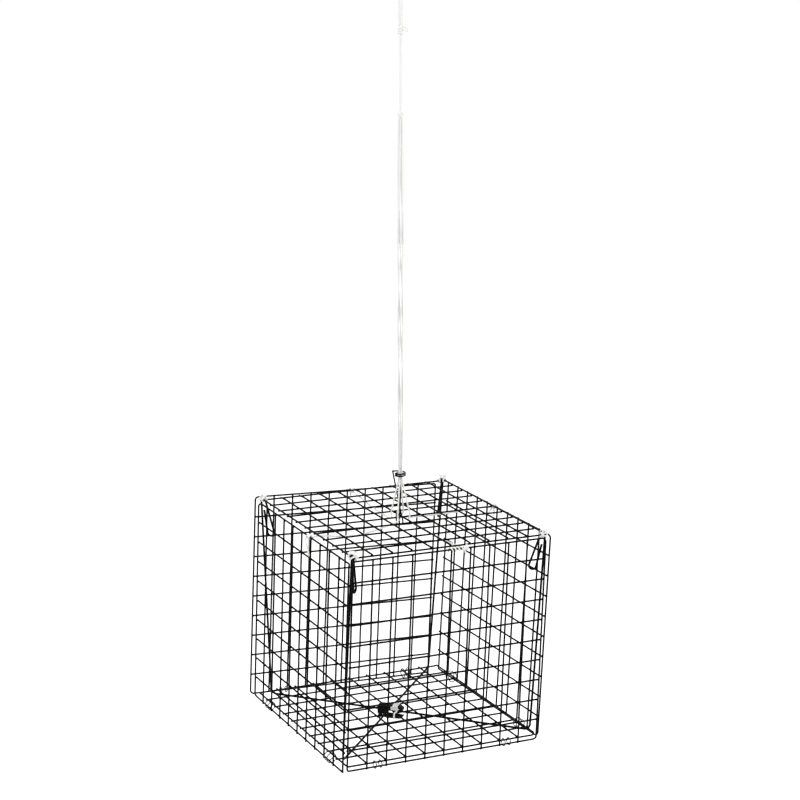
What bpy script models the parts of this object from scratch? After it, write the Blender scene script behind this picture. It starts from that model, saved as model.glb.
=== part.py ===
"""Box crab trap: six welded wire panels, two wire braces, four fold-down doors on hog rings,
a wire line guide, a sprung bait clip and one hauling line that splits into four door strings.

Metres, +Z up. The world origin is the point of the hand loop that a hook or a hand holds.
Everything is first placed from the middle of the floor panel (X along the front, Y to the back)
and hangs from one empty that carries it down to its place under the hand loop.
"""
import math

import bmesh
import bpy
from mathutils import Matrix, Vector

# Mesh panels
SQUARES = 10
PITCH = 0.028
MESH_WIRE = 0.0022
WELD_SINK = 0.1
CORNER_RADIUS = 0.0045
CORNER_STEPS = 3
NUB = 0.0003

# Cage: the top panel's height above the front door's top wire, its shift, and the gap between touching pieces
TOP_RISE = 0.0026
TOP_SHIFT = Vector((0.0029, 0.0056, 0))
TOUCH_GAP = 0.0003

# Doors: place of the bottom wire outside and below the floor's edge, shift, lean and roll
DOORS = {
    "front": {"out": 0.0032, "shift": -0.0010, "drop": 0.0056, "lean": 0.0, "roll": 0.0, "tie": 5.64},
    "back": {"out": 0.0031, "shift": -0.0098, "drop": 0.0060, "lean": 2.86, "roll": -1.78, "tie": 5.1},
    "left": {"out": 0.0048, "shift": 0.0040, "drop": 0.0053, "lean": 0.2, "roll": -0.75, "tie": 5.6},
    "right": {"out": 0.0053, "shift": -0.0042, "drop": 0.0058, "lean": 1.1, "roll": 0.32, "tie": 4.66},
}
OUTWARD = {
    "front": Vector((0, -1, 0)),
    "back": Vector((0, 1, 0)),
    "left": Vector((-1, 0, 0)),
    "right": Vector((1, 0, 0)),
}

# Hog rings
RING_WIRE = 0.0014
RING_SQUARE = 1
RING_PLACE = 0.6
RING_PAIR_SPACING = 0.008
RING_END_GAP = 0.0006

# Braces
BRACE_WIRE = 0.0028
FEET = {
    "front_right": (0.1363, -0.1323),
    "back_right": (0.1214, 0.1284),
    "back_left": (-0.1282, 0.1215),
    "front_left": (-0.1395, -0.1290),
}
FOOT_BEND = 0.008
HOOK_DROP = 0.045
HOOK_INWARD = 0.012
HOOK_WIDTH = 0.010
HOOK_END_DROP = 0.014
HOOK_END_GAP = 0.0006
CROSSING_RAMP = 0.040

# Cords
CORD = 0.0022
MAIN_CORD = 0.0028
CORD_GAP = 0.0004
LASH_TURNS = 1.25
KNOT_TURNS = 2.5
TIE_TURNS = 3
TIE_CLEARANCE = 0.0012
TIE_TAIL = ((-0.0010, 0.0003, 0.0034), (-0.0034, 0.0008, 0.0060), (-0.0036, 0.0010, 0.0145))

# Line guide: a bent wire whose eye stands over the middle of the top panel
GUIDE_WIRE = 0.0020
GUIDE_TURN = math.radians(-27.7)
EYE = Vector((0.0, 0.004, 0.336))
EYE_RADIUS = 0.0065
EYE_TURNS = 2
EYE_PITCH = 0.0026
GUIDE_HOOK_DEPTH = 0.0126

# Hauling line: its sideways drift for each metre up, the bearing of that, and its lengths up from the eye
LINE_DRIFT = 0.0321
LINE_BEARING = math.radians(152.7)
JOIN_KNOT_AT = 0.476
LOOP_KNOT_AT = 0.5815
HAND_LOOP_AT = 0.690
LINE_START = 0.0083
JOIN_KNOT_SIZE = (0.0038, 0.0088)
LOOP_KNOT_SIZE = (0.0042, 0.0110)
LOOP_WIDTH = 0.018
LOOP_TOGETHER = 0.045
STRING_SPREAD = 0.0014

# Bait clip, which bites the crossing of the braces; lengths run along the lower brace
CLIP_WIDTH = 0.012
CLIP_PIVOT = (-0.0068, -0.0015)
CLIP_LUG_RADIUS = 0.0032
CLIP_PIN = 0.0018
CLIP_PLATE = 0.0026
CLIP_CHEEK = 0.0018
CLIP_LUG = 0.0013
CLIP_WALL_LAP = 0.0020
CLIP_HANDLE_END = -0.0155
CLIP_JAW_END = 0.0195
CLIP_TOOTH = 0.0045
CLIP_LUG_ROOM = 0.0008
CUT_PAST = 0.010
SPRING_WIRE = 0.0009
SPRING_TURNS = 2
SPRING_PITCH = 0.0014

# Worked out from the sizes above
SIDE = SQUARES * PITCH
HALF = SIDE / 2
LAYER = (1 - WELD_SINK) * MESH_WIRE / 2
MESH_FACE = LAYER + MESH_WIRE / 2
BRACE_LEVEL = MESH_FACE + TOUCH_GAP + BRACE_WIRE / 2
BRACE_OVER = BRACE_LEVEL + BRACE_WIRE + TOUCH_GAP
TOP_CENTRE = TOP_SHIFT + Vector((0, 0, SIDE - DOORS["front"]["drop"] + TOP_RISE))
LINE_SIDE = Vector((math.cos(LINE_BEARING), math.sin(LINE_BEARING), 0))
LINE_LEAN = (Vector((0, 0, 1)) + LINE_SIDE * LINE_DRIFT).normalized()
CORNER_REACH = HALF - CORNER_RADIUS + CORNER_RADIUS * math.sqrt(0.5)
HOLD_POINT = EYE + LINE_LEAN * HAND_LOOP_AT


def clear_scene():
    for thing in list(bpy.data.objects):
        bpy.data.objects.remove(thing, do_unlink=True)


def material(name, colour, roughness, metallic):
    made = bpy.data.materials.new(name)
    made.use_nodes = True
    shader = made.node_tree.nodes["Principled BSDF"]
    shader.inputs["Base Color"].default_value = (*colour, 1)
    shader.inputs["Roughness"].default_value = roughness
    shader.inputs["Metallic"].default_value = metallic
    return made


def add(name, data, look, parent, place=None):
    """One named piece under its parent; place is its matrix under that parent."""
    piece = bpy.data.objects.new(name, data)
    bpy.context.collection.objects.link(piece)
    if not data.materials:
        data.materials.append(look)
    piece.parent = parent
    if place is not None:
        piece.matrix_local = place
    return piece


def smooth_path(points, steps):
    """Points read from a smooth curve through the given ones."""
    points = [Vector(p) for p in points]
    ends = [points[0] * 2 - points[1]] + points + [points[-1] * 2 - points[-2]]
    path = []
    for a, b, c, d in zip(ends, ends[1:], ends[2:], ends[3:]):
        for i in range(steps):
            t = i / steps
            path.append(0.5 * (2 * b + (c - a) * t + (2 * a - 5 * b + 4 * c - d) * t**2
                               + (3 * b - a - 3 * c + d) * t**3))
    path.append(points[-1])
    return path


def bend(before, corner, after, radius, steps=6):
    """The arc that rounds one corner of a bent wire."""
    start = (before - corner).normalized()
    end = (after - corner).normalized()
    half_angle = start.angle(end) / 2
    run = radius / math.tan(half_angle)
    centre = corner + (start + end).normalized() * radius / math.sin(half_angle)
    first = corner + start * run - centre
    last = corner + end * run - centre
    return [centre + first.slerp(last, i / steps) * radius for i in range(steps + 1)]


def tube(name, points, diameter, look, parent, resolution=2):
    """A round wire or cord along the points, with closed ends."""
    curve = bpy.data.curves.new(name, "CURVE")
    curve.dimensions = "3D"
    curve.bevel_depth = diameter / 2
    curve.bevel_resolution = resolution
    curve.use_fill_caps = True
    run = curve.splines.new("POLY")
    run.points.add(len(points) - 1)
    for point, place in zip(run.points, points):
        point.co = (*place, 1)
    run.use_smooth = True
    return add(name, curve, look, parent)


def least_gap(name, points, diameter, skip):
    """Print the smallest space that a wound tube leaves to itself."""
    gap = min((a - b).length for i, a in enumerate(points) for b in points[i + skip:])
    print(f"{name}: least gap to itself {1000 * (gap - diameter):.2f} mm")


def turns(axis, out, up, radius, count, pitch, per_turn=8, start=0.0):
    """A coil round an axis: it starts along out, turns towards up and climbs along the axis."""
    steps = round(count * per_turn)
    path = []
    for i in range(steps + 1):
        angle = start + 2 * math.pi * i / per_turn
        path.append(axis * pitch * i / per_turn + out * radius * math.cos(angle) + up * radius * math.sin(angle))
    return path


# Welded mesh


def sweep_wire(shape, points, closed):
    """A six-sided wire whose ridges face the panel's front and back."""
    rings = []
    count = len(points)
    for i, point in enumerate(points):
        before = points[i - 1] if closed or i else point
        after = points[(i + 1) % count] if closed or i < count - 1 else point
        ahead = (after - before).normalized()
        across = ahead.cross(Vector((0, 0, 1))).normalized()
        ridge = across.cross(ahead)
        corners = [math.radians(60 * k) for k in range(6)]
        rings.append([shape.verts.new(point + (ridge * math.cos(c) + across * math.sin(c)) * MESH_WIRE / 2)
                      for c in corners])
    pairs = list(zip(rings, rings[1:]))
    if closed:
        pairs.append((rings[-1], rings[0]))
    else:
        shape.faces.new(rings[0])
        shape.faces.new(rings[-1])
    for near, far in pairs:
        for k in range(6):
            shape.faces.new((near[k], near[k - 1], far[k - 1], far[k]))


def wire_object(name, wires, closed=False):
    shape = bmesh.new()
    for points in wires:
        sweep_wire(shape, points, closed)
    bmesh.ops.recalc_face_normals(shape, faces=shape.faces)
    mesh = bpy.data.meshes.new(name)
    shape.to_mesh(mesh)
    shape.free()
    thing = bpy.data.objects.new(name, mesh)
    bpy.context.collection.objects.link(thing)
    return thing


def frame_loop():
    """The panel's outer wire: it changes layer in each rounded corner."""
    points = []
    inner = HALF - CORNER_RADIUS
    for quarter, (x, y) in enumerate(((1, -1), (1, 1), (-1, 1), (-1, -1))):
        centre = Vector((x * inner, HALF + y * inner, 0))
        for i in range(CORNER_STEPS + 1):
            angle = math.radians(90 * (quarter - 1 + i / CORNER_STEPS))
            rise = (1 - math.cos(math.pi * i / CORNER_STEPS)) / 2
            if quarter % 2:
                rise = 1 - rise
            points.append(centre + Vector((CORNER_RADIUS * math.cos(angle), CORNER_RADIUS * math.sin(angle),
                                           2 * LAYER * rise)))
    return points


def panel_mesh(name, bottom_nub):
    """One panel: X across, Y from its bottom wire up, Z out; the bottom wire is centred on Z = 0."""
    past = MESH_WIRE / 2 + NUB
    low = -past if bottom_nub else TOUCH_GAP - MESH_WIRE / 2
    lines = [PITCH * i for i in range(1, SQUARES)]
    uprights = [(Vector((x - HALF, low, 2 * LAYER)), Vector((x - HALF, SIDE + past, 2 * LAYER))) for x in lines]
    levels = [(Vector((-HALF - past, y, 0)), Vector((HALF + past, y, 0))) for y in lines]
    panel = wire_object(name, uprights)
    parts = [wire_object(name + "_levels", levels), wire_object(name + "_loop", [frame_loop()], closed=True)]
    for other in parts:
        weld = panel.modifiers.new(other.name, "BOOLEAN")
        weld.operation = "UNION"
        weld.solver = "EXACT"
        weld.object = other
    bpy.context.view_layer.update()
    mesh = bpy.data.meshes.new_from_object(panel.evaluated_get(bpy.context.evaluated_depsgraph_get()))
    mesh.name = name
    for used in [panel] + parts:
        bpy.data.objects.remove(used, do_unlink=True)
    mesh.shade_smooth()
    mesh.set_sharp_from_angle(angle=math.radians(65))
    return mesh


def door_frame(side):
    """The door's place: X along its hinge line, Y up the door, Z outward."""
    spec = DOORS[side]
    out = OUTWARD[side]
    up = Vector((0, 0, 1))
    along = up.cross(out)
    facing = Matrix((along, up, out)).transposed().to_4x4()
    sense = 1 if side in ("front", "left") else -1
    place = out * (HALF + spec["out"]) + along * sense * spec["shift"] - up * spec["drop"]
    roll = Matrix.Rotation(math.radians(spec["roll"]) * sense, 4, "Z")
    lean = Matrix.Rotation(math.radians(spec["lean"]), 4, "X")
    return Matrix.Translation(place) @ facing @ roll @ lean


def hog_rings(side, look, parent):
    """Two pairs of closed rings that tie the door's bottom wire to the floor's edge wire.

    Each pair lies where a square of the floor and a square of the door leave the edge free.
    """
    frame = door_frame(side)
    hinge = frame.to_3x3() @ Vector((1, 0, 0))
    out = OUTWARD[side]
    floor_axis = Vector((0, 0, 1)).cross(out)
    slid = frame.translation.dot(floor_axis)
    level = -LAYER if side in ("front", "back") else LAYER
    number = 0
    outer = HALF - RING_SQUARE * PITCH
    for end in (-1, 1):
        free_from = outer + min(0, end * slid)
        free_to = outer - PITCH + max(0, end * slid)
        middle_reach = end * (free_from + (free_to - free_from) * RING_PLACE)
        for half_step in (-0.5, 0.5):
            number += 1
            reach = middle_reach + half_step * RING_PAIR_SPACING
            edge = out * HALF + floor_axis * reach + Vector((0, 0, level))
            door = frame.translation + hinge * (reach - slid) / hinge.dot(floor_axis)
            away = (door - edge).normalized()
            side_way = floor_axis.cross(away)
            radius = (door - edge).length / 2 + MESH_WIRE / 2 + TOUCH_GAP + RING_WIRE / 2
            open_half = RING_END_GAP / 2 / radius
            angles = [open_half] + [math.radians(45 * i) for i in range(1, 8)] + [2 * math.pi - open_half]
            path = [(edge + door) / 2 + (side_way * math.cos(a) - away * math.sin(a)) * radius for a in angles]
            tube(f"hinge_ring_{side}_{number}", path, RING_WIRE, look, parent, resolution=0)


# Braces


def corner_frame(corner):
    """The top panel's outermost frame point at a corner, and the level direction out from it."""
    side = Vector((1 if "right" in corner else -1, 1 if "back" in corner else -1, 0))
    return TOP_CENTRE + side * CORNER_REACH, side.normalized()


def foot_point(corner):
    return Vector((*FEET[corner], BRACE_LEVEL))


def upright_top(corner):
    point, out = corner_frame(corner)
    return point + out * (MESH_WIRE / 2 + TOUCH_GAP + BRACE_WIRE / 2)


def hook_path(corner):
    """From the hook's free end round its bend, up the inner arm and over the panel's corner."""
    point, out = corner_frame(corner)
    up = Vector((0, 0, 1))
    top = upright_top(corner)
    foot = foot_point(corner)
    crown = MESH_WIRE / 2 + TOUCH_GAP + BRACE_WIRE / 2
    beside = top.lerp(foot, HOOK_END_DROP / (top.z - foot.z))
    path = [beside - out * (BRACE_WIRE + HOOK_END_GAP)]
    centre = point - out * HOOK_INWARD - up * HOOK_DROP
    for i in range(6):
        angle = math.radians(-36 * i)
        path.append(centre + (out * math.cos(angle) + up * math.sin(angle)) * HOOK_WIDTH / 2)
    for i in range(6):
        angle = math.radians(180 - 36 * i)
        path.append(point + (out * math.cos(angle) + up * math.sin(angle)) * crown)
    return path


def brace_path(first, second, over):
    """Hook, upright, foot, floor run, foot, upright, hook; the upper brace rises over the lower one."""
    start, end = foot_point(first), foot_point(second)
    path = hook_path(first)
    path += bend(upright_top(first), start, end, FOOT_BEND)
    if over:
        crossing = braces_cross()
        ahead = (end - start).normalized()
        for i in range(-4, 5):
            share = i / 4
            lift = (BRACE_OVER - BRACE_LEVEL) * (1 + math.cos(math.pi * share)) / 2
            path.append(crossing + ahead * CROSSING_RAMP * share + Vector((0, 0, lift)))
    path += bend(start, end, upright_top(second), FOOT_BEND)
    path += reversed(hook_path(second))
    return path


def braces_cross():
    """Where the two floor runs cross, at the lower brace's level."""
    a, b = foot_point("back_left"), foot_point("front_right")
    c, d = foot_point("front_left"), foot_point("back_right")
    run, other = b - a, d - c
    share = (c - a).cross(other).z / run.cross(other).z
    return a + run * share


def corner_lashing(corner, look, parent):
    """Cord turns round the panel's frame wire on both sides of the brace, with one pass over it."""
    point, out = corner_frame(corner)
    up = Vector((0, 0, 1))
    along = up.cross(out)
    heart = point - out * CORNER_RADIUS
    ring = MESH_WIRE / 2 + TOUCH_GAP + CORD / 2
    beside = BRACE_WIRE / 2 + TOUCH_GAP + CORD / 2 + 0.0003
    outside = MESH_WIRE / 2 + 2 * TOUCH_GAP + BRACE_WIRE + CORD / 2
    pitch = CORD + CORD_GAP
    per_turn = 8
    climb = 1 if corner in ("front_right", "back_left") else -1

    def place(angle, reach):
        turn = max(-math.pi / 4, min(math.pi / 4, reach / CORNER_RADIUS))
        away = out * math.cos(turn) + along * math.sin(turn)
        ahead = along * math.cos(turn) - out * math.sin(turn)
        wire = away * CORNER_RADIUS + ahead * (reach - turn * CORNER_RADIUS)
        wire += up * LAYER * math.sin(2 * climb * turn)
        return heart + wire + away * ring * math.cos(angle) + up * ring * math.sin(angle)

    count = round(LASH_TURNS * per_turn)
    left = []
    for i in range(count + 1):
        left.append(place(math.radians(-90) + 2 * math.pi * i / per_turn, -beside - pitch * i / per_turn))
    right = []
    for i in range(count + 1):
        right.append(place(math.radians(90) - 2 * math.pi * i / per_turn, beside + pitch * i / per_turn))
    low = -ring
    over = [
        point + out * outside * 0.5 - along * (beside + 0.0004) + up * low,
        point + out * outside * 0.97 - along * beside * 0.65 + up * low * 0.55,
        point + out * outside,
        point + out * outside * 0.97 + along * beside * 0.65 - up * low * 0.55,
        point + out * outside * 0.5 + along * (beside + 0.0004) - up * low,
    ]
    path = list(reversed(left)) + over + right
    tube("corner_lashing_" + corner, path, CORD, look, parent, resolution=1)


# Line guide and strings


def guide_way(a, b, z):
    """A point from the top panel's centre: a to the guide's right, b behind it, z up."""
    turn = Matrix.Rotation(GUIDE_TURN, 3, "Z")
    return TOP_CENTRE + turn @ Vector((a, b, z))


def line_guide(look, parent):
    """A hook under the panel's middle wire, a leaning rod and a two-turn eye."""
    back = guide_way(0, 1, 0) - TOP_CENTRE
    right = guide_way(1, 0, 0) - TOP_CENTRE
    eye_top = EYE + Vector((0, 0, EYE_TURNS * EYE_PITCH / 2))
    coil = [eye_top + p for p in turns(Vector((0, 0, -1)), back, right, EYE_RADIUS, EYE_TURNS, EYE_PITCH, 10)]
    least_gap("line_guide eye", coil, GUIDE_WIRE, 6)
    level = eye_top.z - TOP_CENTRE.z
    hook = smooth_path([
        guide_way(-0.0092, 0.0046, 0.0030),
        guide_way(-0.0072, 0.0044, 0.0052),
        guide_way(-0.0056, 0.0043, 0.0030),
        guide_way(-0.0054, 0.0042, -0.0050),
        guide_way(-0.0042, 0.0042, 0.0015 - GUIDE_HOOK_DEPTH),
        guide_way(-0.0008, 0.0042, -GUIDE_HOOK_DEPTH),
        guide_way(0.0030, 0.0042, 0.0015 - GUIDE_HOOK_DEPTH),
        guide_way(0.0037, 0.0042, -0.0070),
    ], 3)
    rod = smooth_path([
        guide_way(0.0015, 0.0042, 0.0),
        guide_way(-0.0112, 0.0040, level - 0.005),
        guide_way(-0.0114, 0.0038, level - 0.001),
        guide_way(-0.0090, 0.0037, level),
    ], 3)
    tube("line_guide", hook + rod + coil, GUIDE_WIRE, look, parent, resolution=1)


def bundle_offset(side):
    """Where one of the four strings lies in the bundle that passes the eye."""
    places = {"front": (1, -1), "left": (-1, -1), "back": (-1, 1), "right": (1, 1)}
    x, y = places[side]
    return Vector((x, y, 0)) * STRING_SPREAD


def knot_start(side):
    """Under the door's top wire, so many squares along it as the string's tie says."""
    sense = 1 if side in ("front", "left") else -1
    reach = (DOORS[side]["tie"] - SQUARES / 2) * PITCH
    frame = door_frame(side)
    turn = frame.to_3x3()
    centre = frame @ Vector((sense * reach, SIDE, 0))
    return centre, turn @ Vector((sense, 0, 0)), turn @ Vector((0, -1, 0)), turn @ Vector((0, 0, 1))


def door_knot(side, look, parent):
    centre, axis, down, out = knot_start(side)
    ring = MESH_WIRE / 2 + TOUCH_GAP + CORD / 2
    coil = [centre + p for p in turns(axis, down, out, ring, KNOT_TURNS, CORD + CORD_GAP)]
    least_gap("string_knot_" + side, coil, CORD, 5)
    lead = coil[0] - out * CORD
    tube("string_knot_" + side, [lead] + coil, CORD, look, parent, resolution=1)
    return lead, out


STRING_SAG = {"front": 0.003, "back": 0.003, "left": 0.009, "right": 0.003}
CELL_REACH = 0.009
RUN_END_INSET = 0.004


def string_run(side, look, parent, tie):
    """From above the eye, down through a square beside the centre and out under the top panel."""
    offset = bundle_offset(side)
    cell = TOP_CENTRE + Vector((math.copysign(CELL_REACH, offset.x), math.copysign(CELL_REACH, offset.y), 0))
    under = MESH_FACE + TOUCH_GAP + CORD / 2
    out = OUTWARD[side]
    edge = TOP_CENTRE + out * (HALF - RUN_END_INSET)
    edge.z -= under
    sideways = Vector((0, 0, 1)).cross(out)
    edge += sideways * (tie - edge).dot(sideways)
    middle = cell.lerp(edge, 0.5)
    middle.z = edge.z - STRING_SAG[side]
    leave = EYE + offset - LINE_LEAN * EYE_PITCH * EYE_TURNS
    above = cell + Vector((0, 0, 0.006))
    path = smooth_path([
        EYE + offset + LINE_LEAN * (LINE_START - TOUCH_GAP),
        leave,
        leave.lerp(above, 0.25),
        above,
        cell + (edge - cell).normalized() * 0.003 + Vector((0, 0, -under - 0.001)),
        middle,
        edge,
    ], 3)
    tube("string_run_" + side, path, CORD, look, parent, resolution=1)
    return edge, (path[-1] - path[-2]).normalized()


def turned(name, profile, look, parent, place, way, spins=10):
    """A solid turned from (radius, height) points round the given direction."""
    shape = bmesh.new()
    outline = [shape.verts.new((radius, 0, height)) for radius, height in profile]
    edges = [shape.edges.new(pair) for pair in zip(outline, outline[1:])]
    bmesh.ops.spin(shape, geom=outline + edges, cent=(0, 0, 0), axis=(0, 0, 1), angle=2 * math.pi, steps=spins,
                   use_merge=True)
    bmesh.ops.remove_doubles(shape, verts=shape.verts, dist=1e-6)
    bmesh.ops.recalc_face_normals(shape, faces=shape.faces)
    mesh = bpy.data.meshes.new(name)
    shape.to_mesh(mesh)
    shape.free()
    mesh.shade_smooth()
    turn = Vector((0, 0, 1)).rotation_difference(way).to_matrix().to_4x4()
    return add(name, mesh, look, parent, Matrix.Translation(place) @ turn)


def knot_profile(radius, length, bulges=3):
    """A wound knot's outline: a bulge for each turn between two closed ends."""
    profile = [(0, -length / 2)]
    for i in range(2 * bulges + 1):
        height = length * (i / (2 * bulges) - 0.5)
        waist = 0.84 if i % 2 == 0 else 1.0
        if i in (0, 2 * bulges):
            waist = 0.55
        profile.append((radius * waist, height))
    profile.append((0, length / 2))
    return profile


def hauling_line(look, parent):
    """Four strands, the knot that joins them, the main line, its loop knot and the hand loop."""
    join_radius, join_length = JOIN_KNOT_SIZE
    loop_radius, loop_length = LOOP_KNOT_SIZE
    strand_end = JOIN_KNOT_AT - join_length / 2 - TOUCH_GAP
    for side in DOORS:
        offset = bundle_offset(side)
        ends = [EYE + offset + LINE_LEAN * LINE_START, EYE + offset + LINE_LEAN * strand_end]
        tube("strand_" + side, ends, CORD, look, parent, resolution=1)
    turned("join_knot", knot_profile(join_radius, join_length), look, parent,
           EYE + LINE_LEAN * JOIN_KNOT_AT, LINE_LEAN)
    turned("loop_knot", knot_profile(loop_radius, loop_length), look, parent,
           EYE + LINE_LEAN * LOOP_KNOT_AT, LINE_LEAN)
    line_from = JOIN_KNOT_AT + join_length / 2 + TOUCH_GAP
    line_to = LOOP_KNOT_AT - loop_length / 2 - TOUCH_GAP
    tube("main_line", [EYE + LINE_LEAN * line_from, EYE + LINE_LEAN * line_to], MAIN_CORD, look, parent)
    hand_loop(look, parent, LOOP_KNOT_AT + loop_length / 2 + TOUCH_GAP)


def hand_loop(look, parent, start):
    """Two legs that lie together and then spread to a round top, whose inner side is the hold point."""
    across = guide_way(1, 0, 0) - TOP_CENTRE
    across = (across - LINE_LEAN * across.dot(LINE_LEAN)).normalized()
    radius = LOOP_WIDTH / 2
    top = HAND_LOOP_AT + MAIN_CORD / 2
    centre = EYE + LINE_LEAN * (top - radius)
    narrow = (MAIN_CORD + CORD_GAP) / 2
    foot = EYE + LINE_LEAN * start
    lead = EYE + LINE_LEAN * (start + LOOP_TOGETHER)
    path = [foot - across * narrow, lead - across * narrow * 1.1]
    path += [centre + (LINE_LEAN * math.sin(a) - across * math.cos(a)) * radius
             for a in (math.pi * i / 10 for i in range(11))]
    path += [lead + across * narrow * 1.1, foot + across * narrow]
    tube("hand_loop", path, MAIN_CORD, look, parent, resolution=1)


# Bait clip


def clip_frame():
    """The clip's place: X along the lower brace towards the front, Y across, Z up, at the crossing."""
    ahead = (foot_point("front_right") - foot_point("back_left")).normalized()
    up = Vector((0, 0, 1))
    turn = Matrix((ahead, up.cross(ahead), up)).transposed().to_4x4()
    crossing = braces_cross()
    return Matrix.Translation((crossing.x, crossing.y, 0)) @ turn


def side_plate(name, outline, near, far):
    """A plate with the given side outline, from near to far across the clip."""
    shape = bmesh.new()
    face = shape.faces.new([shape.verts.new((x, near, z)) for x, z in outline])
    moved = bmesh.ops.extrude_face_region(shape, geom=[face])["geom"]
    corners = [v for v in moved if isinstance(v, bmesh.types.BMVert)]
    bmesh.ops.translate(shape, verts=corners, vec=(0, far - near, 0))
    bmesh.ops.recalc_face_normals(shape, faces=shape.faces)
    mesh = bpy.data.meshes.new(name)
    shape.to_mesh(mesh)
    shape.free()
    return mesh


def disc(radius, centre, steps=12):
    return [(centre[0] + radius * math.cos(2 * math.pi * i / steps),
             centre[1] + radius * math.sin(2 * math.pi * i / steps)) for i in range(steps)]


def fused(name, meshes, cuts, look, parent, place):
    """One solid from plates joined together, less the cuts."""
    helpers = []
    base = bpy.data.objects.new(name + "_base", meshes[0])
    bpy.context.collection.objects.link(base)
    for operation, group in (("UNION", meshes[1:]), ("DIFFERENCE", cuts)):
        for mesh in group:
            tool = bpy.data.objects.new(mesh.name, mesh)
            bpy.context.collection.objects.link(tool)
            helpers.append(tool)
            step = base.modifiers.new(mesh.name, "BOOLEAN")
            step.operation = operation
            step.solver = "EXACT"
            step.object = tool
    bpy.context.view_layer.update()
    made = bpy.data.meshes.new_from_object(base.evaluated_get(bpy.context.evaluated_depsgraph_get()))
    made.name = name
    made.materials.clear()
    for used in [base] + helpers:
        bpy.data.objects.remove(used, do_unlink=True)
    made.shade_smooth()
    made.set_sharp_from_angle(angle=math.radians(35))
    return add(name, made, look, parent, place)


def bait_clip(plastic, steel, cord, parent, jaw_parent):
    """A sprung clip: its lower lever lies under the mesh, its upper lever straddles the lower brace."""
    place = clip_frame()
    half = CLIP_WIDTH / 2
    bore = CLIP_PIN / 2 + TOUCH_GAP / 2
    under = -MESH_FACE - TOUCH_GAP
    over = BRACE_OVER + BRACE_WIRE / 2 + TOUCH_GAP
    rest = BRACE_LEVEL + BRACE_WIRE / 2 + TOUCH_GAP
    tooth = CLIP_JAW_END - CLIP_TOOTH
    cheek_in = half - CLIP_CHEEK
    lug_out = cheek_in - TOUCH_GAP
    lug_in = lug_out - CLIP_LUG
    px, pz = CLIP_PIVOT
    reach = CLIP_LUG_RADIUS

    lower = [
        (CLIP_HANDLE_END, under - 0.0054),
        (px - reach - CLIP_LUG_ROOM, under - 0.0042),
        (px + reach + CLIP_LUG_ROOM, under - 0.0038),
        (tooth, under - CLIP_PLATE),
        (CLIP_JAW_END, under - CLIP_PLATE * 0.7),
        (CLIP_JAW_END, under),
        (tooth + 0.0030, under),
        (tooth + 0.0022, under - 0.0008),
        (tooth + 0.0014, under),
        (px + reach + CLIP_LUG_ROOM, under),
        (px + reach, under - 0.0018),
        (px - reach, under - 0.0018),
        (CLIP_HANDLE_END, under - 0.0054 + CLIP_PLATE),
    ]
    notch = [(px - reach - CLIP_LUG_ROOM, under - CUT_PAST), (px + reach + CLIP_LUG_ROOM, under - CUT_PAST),
             (px + reach + CLIP_LUG_ROOM, over + CUT_PAST), (px - reach - CLIP_LUG_ROOM, over + CUT_PAST)]
    lug = disc(reach, CLIP_PIVOT, 16)
    wall = [(CLIP_HANDLE_END + 0.0010, under - 0.0054 + CLIP_PLATE / 2), (px, under - 0.0026), (px, pz + reach * 0.8),
            (CLIP_HANDLE_END + 0.0010, pz + 0.0010 + CLIP_WALL_LAP)]
    fused("bait_clip_base",
          [side_plate("lower_plate", lower, -half, half),
           side_plate("lug_left", lug, lug_in, lug_out),
           side_plate("lug_right", lug, -lug_out, -lug_in),
           side_plate("wall_left", wall, lug_in, lug_out),
           side_plate("wall_right", wall, -lug_out, -lug_in)],
          [side_plate("notch_left", notch, lug_out, half + CUT_PAST),
           side_plate("notch_right", notch, -half - CUT_PAST, -lug_out),
           side_plate("lower_bore", disc(bore, CLIP_PIVOT), -half - CUT_PAST, half + CUT_PAST)],
          plastic, parent, place)

    upper = [
        (CLIP_HANDLE_END, over - 0.0010),
        (px - reach, over - 0.0004),
        (px + reach, over),
        (tooth, over),
        (tooth + 0.0006, rest),
        (tooth + 0.0016, rest + 0.0008),
        (tooth + 0.0026, rest),
        (CLIP_JAW_END, rest + 0.0002),
        (CLIP_JAW_END, over - 0.0004),
        (tooth, over + CLIP_PLATE),
        (px - reach, over + CLIP_PLATE),
        (CLIP_HANDLE_END, over + CLIP_PLATE - 0.0012),
    ]
    cheek = [(px + reach * math.cos(a), pz + reach * math.sin(a))
             for a in (math.radians(180 + 22.5 * i) for i in range(9))]
    cheek += [(px + reach, over + 0.0012), (px - reach, over + 0.0012)]
    skirt = [(CLIP_HANDLE_END + 0.0004, over + 0.0002), (CLIP_HANDLE_END + 0.0004, pz + 0.0010),
             (px - reach / 2, pz - reach * 0.7), (px, over + 0.0006)]
    fused("bait_clip_jaw",
          [side_plate("upper_plate", upper, -half, half),
           side_plate("cheek_left", cheek, cheek_in, half),
           side_plate("cheek_right", cheek, -half, -cheek_in),
           side_plate("skirt_left", skirt, cheek_in, half),
           side_plate("skirt_right", skirt, -half, -cheek_in)],
          [side_plate("upper_bore", disc(bore, CLIP_PIVOT), -half - CUT_PAST, half + CUT_PAST)],
          plastic, jaw_parent, jaw_parent.matrix_local.inverted() @ place)

    ends = [place @ Vector((px, y, pz)) for y in (-half - 0.0004, half + 0.0004)]
    tube("bait_clip_pin", ends, CLIP_PIN, steel, parent)
    clip_spring(place, lug_in, over, under, steel, parent)
    bait_tie(place, over, cord, jaw_parent)


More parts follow.
